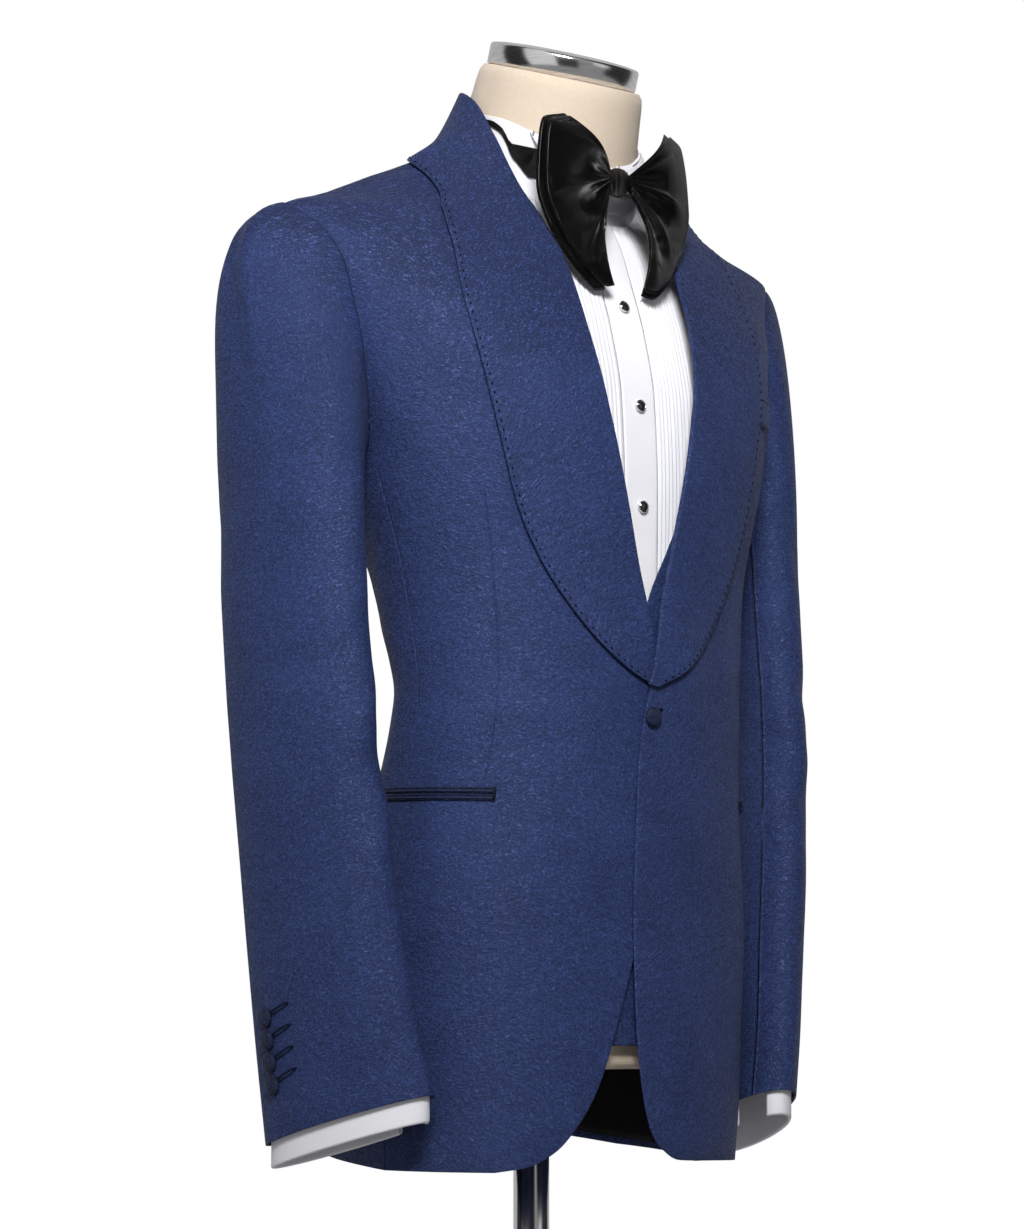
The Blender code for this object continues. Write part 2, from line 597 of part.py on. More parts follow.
def collar_section(station, side):
    """One cross section of the shawl collar, from its inner foot over the fold to its edge."""
    (roll_angle, roll_height, edge_angle, edge_height, stand, roll_lift,
     bridge) = COLLAR_CURVE.at(station)
    roll_angle, edge_angle = min(roll_angle, COLLAR_END), min(edge_angle, COLLAR_END)
    out = body_normal(roll_angle, roll_height)
    ahead = skin(roll_angle + (edge_angle - roll_angle) * 0.06,
                 roll_height + (edge_height - roll_height) * 0.06)
    away = ahead - skin(roll_angle, roll_height)
    away = (away - out * away.dot(out)).normalized()
    below = overlap_lift(side, roll_angle, roll_height)
    on_chest = skin(roll_angle, roll_height, below + roll_lift - LAPEL_FOLD)
    along = neck_along(roll_angle, roll_height)
    on_neck = neck_point(roll_angle, along, COLLAR_OUT + LAPEL_FOLD)
    middle = on_chest.lerp(on_neck, bridge)
    foot = (on_chest - out * LAPEL_FOLD + away * stand).lerp(
        neck_point(roll_angle, along - stand, COLLAR_OUT), bridge)
    inner = middle - out * LAPEL_FOLD
    section = [foot, inner]
    for bend in (-50, 10):
        section.append(middle + (out * math.sin(math.radians(bend))
                                 - away * math.cos(math.radians(bend))) * LAPEL_FOLD)
    top = middle + out * LAPEL_FOLD
    edge_lift = LAPEL_LIFT + COLLAR_SPREAD * bridge
    edge = skin(edge_angle, edge_height, overlap_lift(side, edge_angle, edge_height) + edge_lift)
    for t in even(0.0, 1.0, 6):
        angle = roll_angle + (edge_angle - roll_angle) * t
        height = roll_height + (edge_height - roll_height) * t
        lift = overlap_lift(side, angle, height) + roll_lift + (edge_lift - roll_lift) * t
        straight = top.lerp(edge, t) + out * 0.002 * math.sin(math.pi * t)
        section.append(skin(angle, height, lift).lerp(straight, bridge))
    return section


def jacket_collar(collection):
    for side in (-1, 1):
        rows = [collar_section(station, side) for station in COLLAR_STATIONS]
        loft(f"collar_{side_name(side)}", handed(rows, side), "navy_jacquard", collection, LAPEL_WALL)


def sleeve_rows(rounds, inset, lowest, heights, lift=SLEEVE_LIFT, tight=1.0):
    """Rows of a sleeve from its lower edge up to the armhole."""
    rows = [[sleeve_ring_point(height, r, inset) for r in rounds]
            for height in even(lowest, SLEEVE[0][0], heights)]
    rows += [[sleeve_head_point(step, r, inset, lift, tight) for r in rounds]
             for step in reversed(HEAD_STEPS)]
    return rows


def jacket_sleeves(collection):
    lowest = SLEEVE[-1][0]
    gap = SLEEVE_SEAM_TURN
    pieces = {"upper": even(FRONT_SLEEVE_SEAM + gap, BACK_SLEEVE_SEAM - gap, 12),
              "under": even(BACK_SLEEVE_SEAM + gap, 360 + FRONT_SLEEVE_SEAM - gap, 9)}
    for side in (-1, 1):
        for piece, rounds in pieces.items():
            rows = sleeve_rows(rounds, 0.0, lowest, 6)
            loft(f"sleeve_{piece}_{side_name(side)}", handed(rows, side), "navy_jacquard",
                 collection, JACKET_WALL)


def on_sleeve(height, round_angle, out, side):
    """A point off the sleeve's outer face and the direction the face looks there."""
    point = sleeve_ring_point(height, round_angle)
    around = sleeve_ring_point(height, round_angle + 2) - sleeve_ring_point(height, round_angle - 2)
    up = sleeve_ring_point(height + 0.002, round_angle) - sleeve_ring_point(height - 0.002, round_angle)
    outward = around.cross(up).normalized()
    if outward.x * math.sin(math.radians(round_angle)) < 0:
        outward = -outward
    point = point + outward * out
    return Vector((point.x * side, point.y, point.z)), Vector((outward.x * side, outward.y, outward.z))


def buttons(collection):
    lift = overlap_lift(1, FRONT_BUTTON_ANGLE, BUTTON_HEIGHT) + 2 * SEAM
    dome("front_button", skin(FRONT_BUTTON_ANGLE, BUTTON_HEIGHT, lift),
         body_normal(FRONT_BUTTON_ANGLE, BUTTON_HEIGHT),
         FRONT_BUTTON_RADIUS, 0.0045, "navy_jacquard", collection)
    for side in (-1, 1):
        for index in range(4):
            height = SLEEVE[-1][0] + CUFF_BUTTON_FIRST + CUFF_BUTTON_PITCH * index
            centre, outward = on_sleeve(height, CUFF_BUTTON_ROUND, -0.0003, side)
            dome(f"cuff_button_{side_name(side)}_{index + 1}", centre, outward,
                 CUFF_BUTTON_RADIUS, 0.0045, "navy_jacquard", collection)


def pockets(collection):
    for side in (-1, 1):
        for piece, low in (("lower", -POCKET_JET - SEAM / 2), ("upper", SEAM / 2)):
            table = [(POCKET_ANGLES[0], POCKET_HEIGHT + low + POCKET_JET * t,
                      POCKET_ANGLES[1], POCKET_HEIGHT + 0.004 + low + POCKET_JET * t)
                     for t in even(0.0, 1.0, 2)]
            panel(f"pocket_jet_{piece}_{side_name(side)}", between(table, 11), lambda a, h: ON_CLOTH,
                  STRIP_WALL, "navy_jacquard", collection, side)
    table = [(WELT_ANGLES[0], WELT_HEIGHTS[0] + (WELT_HEIGHTS[1] - WELT_HEIGHTS[0]) * t,
              WELT_ANGLES[1], WELT_HEIGHTS[0] + (WELT_HEIGHTS[1] - WELT_HEIGHTS[0]) * t)
             for t in even(0.0, 1.0, 3)]
    panel("breast_welt", between(table, 9), lambda a, h: overlap_lift(1, a, h) + ON_CLOTH,
          STRIP_WALL, "navy_jacquard", collection)


# ---------------------------------------------------------------- vest
def back_places(table, columns):
    """Rows of places across the whole back, from one side to the other."""
    return [[(180 + (180 - angle - 2 * SEAM_TURN) * t, centre + (height - centre) * abs(t))
             for t in even(-1.0, 1.0, columns)] for angle, height, centre in table]


VEST = [
    # height, front_angle, front_side_angle, back_side_angle
    (0.862, 0.1, 98, 98), (1.000, 0.1, 98, 98), (1.060, 0.1, 98, 98), (1.105, 0.1, 98, 98),
    (1.150, 0.1, 98, 98),
    (1.205, 12, 98, 98), (1.265, 27, 88, 105), (1.325, 35, 76, 112), (1.380, 44, 71, 115),
    (1.430, 57, 76, 106),
]
VEST_BACK_BOTTOM = 0.985    # the vest's back is cut shorter than its fronts
VEST_YOKE = [
    # share, front_angle
    (0.5, 68), (0.9, 80),
]


def vest(collection):
    front = between([(inner, height, side_angle - 2 * SEAM_TURN, height)
                     for height, inner, side_angle, _ in VEST], 8)
    back = back_places([(side_angle, max(height, VEST_BACK_BOTTOM), max(height, VEST_BACK_BOTTOM))
                        for height, _, _, side_angle in VEST], 13)
    for share, inner in VEST_YOKE:
        front.append([(a, yoke_height(a, share)) for a in even(inner, 90 - 2 * SEAM_TURN, 8)])
        back.append([(a, yoke_height(a, share)) for a, _ in back_places([(90, 1, 1)], 13)[0]])
    for side in (-1, 1):
        panel(f"vest_front_{side_name(side)}", front, lambda a, h: VEST_LIFT, VEST_WALL,
              "navy_jacquard", collection, side)
    panel("vest_back", back, lambda a, h: VEST_LIFT, VEST_WALL, "black_lining",
          collection)


# ---------------------------------------------------------------- shirt
SHIRT_SIDE = [
    # front_side_angle and back_side_angle at each of the layer heights
    (90, 90), (90, 90), (90, 90), (90, 90), (90, 90), (90, 90), (87, 95), (82, 105),
    (82, 103), (90, 90),
]
SHIRT_BACK_BOTTOM = 0.880   # the shirt's back ends a little above its fronts


def shirt_places():
    """Rows of places over one front and over the whole back."""
    front = between([(0.1, h, a - 2 * SEAM_TURN, h) for h, (a, _) in zip(LAYER_HEIGHTS, SHIRT_SIDE)], 9)
    back = back_places([(a, max(h, SHIRT_BACK_BOTTOM), max(h, SHIRT_BACK_BOTTOM))
                        for h, (_, a) in zip(LAYER_HEIGHTS, SHIRT_SIDE)], 17)
    for places in (front, back):
        top = places[-1]
        places += [[(a, yoke_height(a, share)) for a, _ in top] for share in YOKE_STEPS]
    return front, back


def shirt_lift(angle, height):
    """The shirt's outer face; it comes down onto the form towards the neck."""
    low, top = LAYER_HEIGHTS[-1], yoke_height(angle, 1.0)
    return SHIRT_LIFT + (FORM_LIFT + 0.0015 - SHIRT_LIFT) * blend(0.0, 0.9, (height - low) / (top - low))


def shirt_body(collection):
    front, back = shirt_places()
    for side in (-1, 1):
        panel(f"shirt_front_{side_name(side)}", front, shirt_lift, SHIRT_WALL,
              "white_shirting", collection, side)
    panel("shirt_back", back, shirt_lift, SHIRT_WALL, "white_shirting", collection)


def on_row(places, out, across):
    """The point of a row of the shirt's front, this far out from it and from the centre."""
    points = [skin(a, h, shirt_lift(a, h) + out) for a, h in places]
    points[0].x = 0.0
    for near, far in zip(points, points[1:]):
        if abs(across) <= far.x:
            break
    point = near.lerp(far, (abs(across) - near.x) / (far.x - near.x))
    return Vector((math.copysign(point.x, across), point.y, point.z))


def shirt_front_trim(collection):
    front, _ = shirt_places()
    front = front[LAYER_HEIGHTS.index(BIB_BOTTOM):]
    pleats = [(PLACKET_HALF + SEAM + (pleat + share * PLEAT_FACE) * PLEAT_PITCH, share * PLEAT_RISE)
              for pleat in range(PLEATS) for share in (0, 1)]
    for side in (-1, 1):
        outer = [[on_row(row, BIB_OUT + rise, across) for across, rise in pleats] for row in front]
        inner = [[on_row(row, SEAM, across) for across, _ in pleats] for row in front]
        loft(f"bib_{side_name(side)}", handed(outer, side), "white_shirting", collection,
             inner=handed(inner, side))
    half = PLACKET_HALF - SEAM
    outer, inner = ([[on_row(row, out, across) for across in even(-half, half, 5)] for row in front]
                    for out in (PLACKET_OUT, SEAM))
    loft("placket", outer, "white_shirting", collection, inner=inner)
    for index, height in enumerate(STUD_HEIGHTS):
        low, high = next(pair for pair in zip(front, front[1:]) if pair[1][0][1] >= height)
        below, above = (on_row(row, PLACKET_OUT + 1.5 * SEAM, 0) for row in (low, high))
        seat = below.lerp(above, (height - low[0][1]) / (high[0][1] - low[0][1]))
        outward = (above - below).cross(Vector((-1, 0, 0)))
        disc(f"stud_{index + 1}", seat, outward, (STUD_RADIUS, STUD_RADIUS, STUD_RADIUS * 0.6),
             (0.0, STUD_DEPTH * 0.7, STUD_DEPTH), "black_onyx", collection, 12)


def stand_top(angle):
    """How far along the neck the collar's stand reaches; it dips in front."""
    return COLLAR_BAND_TOP - COLLAR_FRONT_DIP * (1 - blend(0, 75, min(angle, 360 - angle)))


def shirt_collar(collection):
    angles = BAND_ANGLES
    outer, inner = [], []
    feet = [neck_seam(a) + BAND_FOOT for a in angles]
    for t in even(0.0, 1.0, 3):
        alongs = [(a, foot + (stand_top(a) - foot) * t) for a, foot in zip(angles, feet)]
        outer.append([neck_point(a, along, 0.0008 + SHIRT_WALL) for a, along in alongs])
        inner.append([neck_point(a, along, 0.0008) for a, along in alongs])
    loft("shirt_collar", outer, "white_shirting", collection, inner=inner)
    for side in (-1, 1):
        rows = []
        for t in even(0.0, 1.0, 4):
            row = []
            for s in even(0.0, 1.0, 5):
                angle = 8 + WING_SPAN * s
                reach = WING_EDGE + WING_REACH * (1 - s ** 3)
                along = stand_top(angle) + 0.0015 - reach * t
                out = WING_OUT + 0.0050 * math.sin(math.pi * t / 2)
                row.append(neck_point(angle, along, out))
            rows.append(row)
        rows.reverse()
        loft(f"collar_wing_{side_name(side)}", handed(rows, side), "white_shirting", collection, SHIRT_WALL)
    button = neck_point(0, 0.0015, 0.0022)
    forward = Vector((0, -math.cos(NECK_LEAN), -math.sin(NECK_LEAN)))
    dome("collar_button", button, forward, 0.0048, 0.0022, "white_button", collection)


def shirt_sleeves(collection):
    cuff_top = SLEEVE[-1][0] + CUFF_HEIGHT - CUFF_SHOWS
    inset = CUFF_CLEAR + 2 * CUFF_FOLD + SEAM
    halves = {"upper": even(-30, 150, 7), "under": even(150, 330, 7)}
    for side in (-1, 1):
        for piece, rounds in halves.items():
            seams = [rounds[0] + SHIRT_SEAM_TURN] + rounds[1:-1] + [rounds[-1] - SHIRT_SEAM_TURN]
            rows = sleeve_rows(seams, inset, cuff_top + 0.001, 3, SHIRT_LIFT + SHIRT_WALL + 2 * SEAM, 0.80)
            loft(f"shirt_sleeve_{piece}_{side_name(side)}", handed(rows, side), "white_shirting",
                 collection, SHIRT_WALL)
        ring_rounds = even(CUFF_OPENING[1], 360 + CUFF_OPENING[0], 14)
        bottom = SLEEVE[-1][0] - CUFF_SHOWS
        inner_inset = CUFF_CLEAR + 2 * CUFF_FOLD
        profile = [(CUFF_CLEAR, cuff_top), (CUFF_CLEAR, (cuff_top + bottom) / 2),
                   (CUFF_CLEAR, bottom + 0.001), (CUFF_CLEAR + CUFF_FOLD, bottom),
                   (inner_inset, bottom + 0.001), (inner_inset, cuff_top)]
        cuff = []
        for inset_here, height in profile:
            row = []
            for r in ring_rounds:
                point = sleeve_ring_point(max(height, SLEEVE[-1][0]), r, inset_here)
                point.z += min(height - SLEEVE[-1][0], 0.0)
                row.append(point)
            cuff.append(row)
        cuff.reverse()
        loft(f"cuff_{side_name(side)}", handed(cuff, side), "white_shirting", collection, SHIRT_WALL)


# ---------------------------------------------------------------- bow tie
def bow_tie(collection):
    angles = BAND_ANGLES[1:-1]
    low, high = BAND_ALONG
    ends = [(a, max(low, neck_seam(a) + BAND_FOOT)) for a in angles]
    outer, inner = ([[neck_point(a, foot, out) for a, foot in ends],
                     [neck_point(a, max(high, foot + BAND_LEAST), out) for a, foot in ends]]
                    for out in (BAND_OUT + SHIRT_WALL, BAND_OUT))
    loft("tie_band", outer, "black_satin", collection, inner=inner)

    shape = bmesh.new()
    bmesh.ops.create_uvsphere(shape, u_segments=12, v_segments=7, radius=1.0)
    size = Matrix.Diagonal((*KNOT_SIZE, 1))
    bmesh.ops.transform(shape, matrix=Matrix.Translation(KNOT) @ size, verts=shape.verts)
    mesh = bpy.data.meshes.new("tie_knot")
    shape.to_mesh(mesh)
    shape.free()
    mesh.shade_smooth()
    add_object("tie_knot", mesh, "black_satin", collection)

    end_curve = Table(LEAF_END, keys=even(0.0, 1.0, len(LEAF_END)))
    for side in (-1, 1):
        for index, (back, grow, turn) in enumerate(LEAVES):
            rows = []
            for t in even(1.0, 0.0, 9):
                out, up, behind = end_curve.at(t)
                swing = math.radians(turn)
                end = Vector((out * math.cos(swing) - up * math.sin(swing), 0,
                              out * math.sin(swing) + up * math.cos(swing))) * grow
                start = Vector((KNOT_SIZE[0] + 0.0001, 0, 0.006 - 0.012 * t))
                inner_edge = 0.004 if side > 0 else 0.016
                end.x += LEFT_LEAF_WIDER * (1 - t) ** 2 if side > 0 else 0
                bow = Vector((inner_edge * blend(0.55, 1.0, t), 0, 0))
                row = []
                for s in even(0.0, 1.0, 7):
                    point = start.lerp(end, s) + bow * 4 * s * (1 - s)
                    ripple = 0.0030 * math.sin(math.pi * (2.5 * t + 0.2)) * math.sin(math.pi * s)
                    puff = LEAF_PUFF * math.sin(math.pi * s)
                    depth = behind * s - puff - ripple + back * (0.40 + 0.60 * s)
                    row.append(KNOT + Vector((point.x, depth - 0.004, point.z)))
                rows.append(row)
            loft(f"bow_leaf_{side_name(side)}_{index + 1}", handed(rows, side), "black_satin",
                 collection, SATIN_WALL)


def main():
    for old in list(bpy.data.objects):
        bpy.data.objects.remove(old)
    collection = bpy.data.collections.new("tuxedo_on_dress_form")
    bpy.context.scene.collection.children.link(collection)
    for build in (dress_form, shirt_body, shirt_front_trim, shirt_collar, shirt_sleeves, vest,
                  jacket_fronts, jacket_sides, jacket_backs, jacket_collar, jacket_sleeves,
                  pockets, buttons, bow_tie):
        build(collection)


main()
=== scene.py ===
"""A one-button dinner jacket with its vest, pleated shirt and bow tie, dressed on a linen form.

Metres, +Z up, the front faces -Y and the wearer's left is +X. Every cloth is a thin shell on
the same body surface: an angle round the body (0 in front, 90 at the wearer's side, 180 at the
back), a height, and a lift off the jacket's outer face.
"""
import math

import bpy
import numpy as np
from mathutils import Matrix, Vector


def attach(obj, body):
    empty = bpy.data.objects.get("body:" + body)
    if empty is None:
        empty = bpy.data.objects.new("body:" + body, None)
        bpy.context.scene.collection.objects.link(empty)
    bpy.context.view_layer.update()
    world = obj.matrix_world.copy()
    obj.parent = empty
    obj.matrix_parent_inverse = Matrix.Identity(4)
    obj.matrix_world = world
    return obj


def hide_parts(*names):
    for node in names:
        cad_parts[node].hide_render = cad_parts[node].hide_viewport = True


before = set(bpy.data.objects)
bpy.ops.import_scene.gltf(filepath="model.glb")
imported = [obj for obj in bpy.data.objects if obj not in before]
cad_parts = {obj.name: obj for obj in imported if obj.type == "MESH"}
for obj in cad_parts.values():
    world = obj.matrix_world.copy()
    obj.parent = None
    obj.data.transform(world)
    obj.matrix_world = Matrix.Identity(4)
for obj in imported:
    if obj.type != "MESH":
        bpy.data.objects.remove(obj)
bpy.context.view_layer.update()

# ------------------------------------------------------------------ camera
# A long lens on a stand at hip height, to the wearer's right of the front. It looks up a
# little, at the middle of the jacket.
LENS_ANGLE, LENS_DISTANCE, LENS_HEIGHT = math.radians(-38.5), 2.37, 0.88
AIM_ASIDE, AIM_HEIGHT = -0.0136, 1.169
camera = bpy.data.objects.new("camera", bpy.data.cameras.new("camera"))
bpy.context.scene.collection.objects.link(camera)
camera.location = (math.sin(LENS_ANGLE) * LENS_DISTANCE, -math.cos(LENS_ANGLE) * LENS_DISTANCE, LENS_HEIGHT)
aim = Vector((AIM_ASIDE * math.cos(LENS_ANGLE), AIM_ASIDE * math.sin(LENS_ANGLE), AIM_HEIGHT))
camera.rotation_euler = (aim - camera.location).to_track_quat("-Z", "Y").to_euler()
camera.data.lens, camera.data.sensor_width = 97.2, 36.0
camera.data.clip_start, camera.data.clip_end = 0.1, 40.0
bpy.context.scene.camera = camera


# ------------------------------------------------------------------ dress form
# A padded torso with no arms, covered in one layer of natural linen jersey that is stretched
# smooth over it. It carries every other piece.
BODY = [
    # height, half_width, front, side, back, front_squareness, back_squareness
    (0.760, 0.1470, -0.1270, -0.0050, 0.1130, 2.10, 2.70),
    (0.850, 0.1490, -0.1310, -0.0060, 0.1140, 2.25, 2.60),
    (0.950, 0.1475, -0.1320, -0.0100, 0.0980, 2.40, 2.20),
    (1.030, 0.1430, -0.1350, -0.0200, 0.0670, 2.20, 1.80),
    (1.100, 0.1390, -0.1340, -0.0300, 0.0470, 2.25, 1.70),
    (1.180, 0.1480, -0.1310, -0.0240, 0.0600, 2.25, 1.90),
    (1.250, 0.1660, -0.1320, -0.0160, 0.0850, 2.35, 2.20),
    (1.310, 0.1820, -0.1290, -0.0120, 0.1010, 2.40, 2.40),
    (1.360, 0.1960, -0.1180, -0.0110, 0.1040, 2.20, 2.30),
    (1.400, 0.2100, -0.1040, -0.0100, 0.0990, 1.80, 2.10),
    (1.425, 0.2210, -0.0950, -0.0090, 0.0920, 1.50, 1.90),
    (1.435, 0.2220, -0.0910, -0.0090, 0.0880, 1.38, 1.75),
    (1.448, 0.1900, -0.0890, -0.0090, 0.0830, 1.25, 1.55),
    (1.463, 0.1580, -0.0888, -0.0095, 0.0780, 1.18, 1.35),
    (1.478, 0.1240, -0.0895, -0.0110, 0.0710, 1.22, 1.30),
    (1.490, 0.1000, -0.0925, -0.0130, 0.0635, 1.40, 1.40),
    (1.501, 0.0840, -0.0955, -0.0160, 0.0570, 1.70, 1.70),
    (1.515, 0.0735, -0.0980, -0.0208, 0.0500, 2.00, 2.00),
    (1.545, 0.0694, -0.1042, -0.0310, 0.0362, 2.00, 2.00),
]
NECK = [
    # along, radius
    (-0.010, 0.0700), (0.030, 0.0655), (0.060, 0.0622), (0.078, 0.0602), (0.086, 0.0570),
]
NECK_BASE = np.array((0.0, -0.0082, 1.478))
NECK_LEAN = math.radians(18.9)
NECK_AXIS = np.array((0.0, -math.sin(NECK_LEAN), math.cos(NECK_LEAN)))
FORM_LIFT = -0.0150
FORM_BOTTOM = 0.852
FORM_COLUMNS = 144
FORM_TURNED_UNDER = [
    # size, drop
    (0.93, 0.0060), (0.965, 0.0052), (0.988, 0.0030),
]
YOKE = 1.430
NECK_FOOT, NECK_TOP = 0.002, 0.0835
JERSEY = 0.0006


class Curve:
    """A smooth curve through a table's rows that never overshoots them."""

    def __init__(self, rows, keys=None):
        values = np.array(rows, dtype=float)
        self.keys = values[:, 0] if keys is None else np.array(keys, dtype=float)
        self.values = values[:, 1:] if keys is None else values
        step = np.diff(self.keys)[:, None]
        rise = np.diff(self.values, axis=0) / step
        before, after = 2 * step[1:] + step[:-1], step[1:] + 2 * step[:-1]
        same = rise[:-1] * rise[1:] > 0
        low, high = np.where(same, rise[:-1], 1), np.where(same, rise[1:], 1)
        middle = np.where(same, (before + after) / (before / low + after / high), 0)
        self.slopes = np.concatenate([rise[:1], middle, rise[-1:]])

    def at(self, key):
        key = np.clip(np.asarray(key, dtype=float), self.keys[0], self.keys[-1])
        i = np.clip(np.searchsorted(self.keys, key, side="right") - 1, 0, len(self.keys) - 2)
        step = (self.keys[i + 1] - self.keys[i])[..., None]
        t = (key - self.keys[i])[..., None] / step
        return ((1 + 2 * t) * (1 - t) ** 2 * self.values[i] + t * (1 - t) ** 2 * step * self.slopes[i]
                + t * t * (3 - 2 * t) * self.values[i + 1] + t * t * (t - 1) * step * self.slopes[i + 1])


BODY_CURVE, NECK_CURVE = Curve(BODY), Curve(NECK)


def between(low, high, share):
    """The place at a share of the way from low to high."""
    return low + (high - low) * share


def unit(vectors):
    return vectors / np.linalg.norm(vectors, axis=-1, keepdims=True)


def body_point(angle, height):
    angle, height = np.broadcast_arrays(np.asarray(angle, float), np.asarray(height, float))
    half_width, front, side, back, front_square, back_square = np.moveaxis(BODY_CURVE.at(height), -1, 0)
    forward, across = np.cos(np.radians(angle)), np.sin(np.radians(angle))
    depth = np.where(forward > 0, side - front, back - side)
    square = np.where(forward > 0, front_square, back_square)
    reach = (np.abs(forward / depth) ** square + np.abs(across / half_width) ** square) ** (-1 / square)
    return np.stack([reach * across, side - reach * forward, height], -1)


def body_normal(angle, height):
    height = np.clip(height, BODY[0][0] + 0.001, BODY[-1][0] - 0.001)
    around = body_point(angle + 4.0, height) - body_point(angle - 4.0, height)
    up = body_point(angle, height + 0.001) - body_point(angle, height - 0.001)
    return unit(np.cross(around, up))


def skin(angle, height, lift=0.0):
    """The points of the body surface at these angles and heights, lifted off it."""
    return body_point(angle, height) + body_normal(angle, height) * np.asarray(lift)[..., None]


def neck_point(angle, along, out=0.0):
    """The points of the form's neck, on rings that lean forward with it."""
    angle, along, out = np.broadcast_arrays(*(np.asarray(v, float) for v in (angle, along, out)))
    radius = NECK_CURVE.at(along)[..., 0] + out
    forward, across = np.cos(np.radians(angle)), np.sin(np.radians(angle))
    depth = radius * np.where(forward > 0, 1.04, 0.95)
    ring = np.stack([radius * across, -depth * forward * NECK_AXIS[2], depth * forward * NECK_AXIS[1]], -1)
    return NECK_BASE + NECK_AXIS * along[..., None] + ring


def neck_seam(angle):
    """How far along the neck it comes out of the shoulders at each angle."""
    low, high = np.full(np.shape(angle), -0.010), np.full(np.shape(angle), 0.040)
    for _ in range(18):
        middle = (low + high) / 2
        neck = neck_point(angle, middle)
        shoulder = skin(angle, neck[..., 2], FORM_LIFT)
        inside = np.linalg.norm(shoulder[..., :2], axis=-1) > np.linalg.norm(neck[..., :2], axis=-1)
        low, high = np.where(inside, middle, low), np.where(inside, high, middle)
    return high


def yoke_height(angle, share):
    """Heights between the yoke line and the neck's seam."""
    return between(YOKE, neck_point(angle, neck_seam(angle))[..., 2], share)


class Value:
    """A socket of a finish's nodes, on which plain sums can be written."""

    def __init__(self, owner, socket):
        self.owner, self.socket = owner, socket

    def sum(self, operation, *terms):
        return self.owner.node("Math", {"operation": operation}, terms)

    def __add__(self, other):
        return self.sum("ADD", self, other)

    def __sub__(self, other):
        return self.sum("SUBTRACT", self, other)

    def __rsub__(self, other):
        return self.sum("SUBTRACT", other, self)

    def __mul__(self, other):
        return self.sum("MULTIPLY", self, other)

    def __abs__(self):
        return self.sum("ABSOLUTE", self)

    __radd__, __rmul__ = __add__, __mul__

    def wave(self, length):
        """From -1 to 1 and back over each length."""
        return self.sum("SINE", self * (2 * math.pi / length))

    def rise(self, low, high):
        """From 0 below low to 1 above high, with a soft step between."""
        return self.owner.node("MapRange", {"interpolation_type": "SMOOTHSTEP"}, (self, low, high))


def set_stops(stops, table):
    """Sets a ramp's stops to the places and greys of a table."""
    while len(stops) < len(table):
        stops.new(0.5)
    for stop, (place, grey) in zip(stops, table):
        stop.position, stop.color = place, (grey, grey, grey, 1)


class Nodes:
    """The nodes of one finish, or of the room's light."""

    def __init__(self, tree):
        self.nodes, self.links = tree.nodes, tree.links

    def put(self, socket, value):
        if isinstance(value, Value):
            self.links.new(value.socket, socket)
        elif socket.type == "RGBA":
            socket.default_value = (*value, 1)
        else:
            socket.default_value = value

    def node(self, kind, settings=None, values=(), output=0):
        node = self.nodes.new("ShaderNode" + kind)
        for key, setting in (settings or {}).items():
            if key == "stops":
                set_stops(node.color_ramp.elements, setting)
            else:
                setattr(node, key, setting)
        for key, value in (values.items() if isinstance(values, dict) else enumerate(values)):
            self.put(node.inputs[key], value)
        return Value(self, node.outputs[output])

    def parts(self, vector):
        """The three coordinates of a vector."""
        split = self.node("SeparateXYZ", None, (vector,)).socket.node
        return [Value(self, coordinate) for coordinate in split.outputs]


class Finish(Nodes):
    """One material and its slot. Its steady numbers are set on the shader by name."""

    def __init__(self, name, slot=None, **numbers):
        self.material, self.slot = bpy.data.materials.new(name), slot or name
        self.material.use_nodes = True
        super().__init__(self.material.node_tree)
        self.shader = self.nodes["Principled BSDF"]
        for socket, number in numbers.items():
            self.shader.inputs[socket.replace("_", " ")].default_value = number

    def set(self, socket, value):
        self.put(self.shader.inputs[socket], value)

    def place(self):
        return self.node("TexCoord", output=3)

    def on_cloth(self):
        """The place on the cloth, in metres across it and along it."""
        return self.node("Attribute", {"attribute_name": "thread"}, output=1)

    def noise(self, scale, detail=2.0, distortion=0.0, where=None):
        return self.node("TexNoise", {"normalize": True},
                         {"Vector": where or self.place(), "Scale": scale, "Detail": detail,
                          "Distortion": distortion})

    def mix(self, share, low, high):
        """Between two colours, by a share of the second."""
        return self.node("Mix", {"data_type": "RGBA"}, {0: share, 6: low, 7: high}, output=2)

    def mottle(self, scale, detail, low, high):
        """Lets the colour drift between two tones."""
        self.set("Base Color", self.mix(self.noise(scale, detail), low, high))

    def bump(self, height, distance, strength):
        self.set("Normal", self.node("Bump", None, {"Strength": strength, "Distance": distance,
                                                    "Height": height}))


def add_mesh(name, points, faces, finishes, node=None, thread=None):
    """A shown piece, which stands for a node of the frame if one is named."""
    mesh = bpy.data.meshes.new(name)
    mesh.from_pydata(np.asarray(points, float).reshape(-1, 3).tolist(), [], faces)
    mesh.shade_smooth()
    if thread is not None:
        mesh.attributes.new("thread", "FLOAT_VECTOR", "POINT").data.foreach_set("vector", thread.ravel())
    for finish in finishes:
        mesh.materials.append(finish.material)
    piece = bpy.data.objects.new(name, mesh)
    bpy.context.scene.collection.objects.link(piece)
    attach(piece, "root")
    if node:
        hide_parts(node)
    return piece


def flat_ends(piece):
    """Leaves the flat ends of a tube sharp."""
    for polygon in piece.data.polygons:
        polygon.use_smooth = len(polygon.vertices) == 4


def strips(rows, columns, first=0, around=False, inward=False):
    """The faces between the rows of a grid of points."""
    at = first + np.arange(rows * columns).reshape(rows, columns)
    if around:
        at = np.concatenate([at, at[:, :1]], 1)
    corners = [at[:-1, :-1], at[:-1, 1:], at[1:, 1:], at[1:, :-1]]
    return np.stack(corners[::-1] if inward else corners, -1).reshape(-1, 4).tolist()


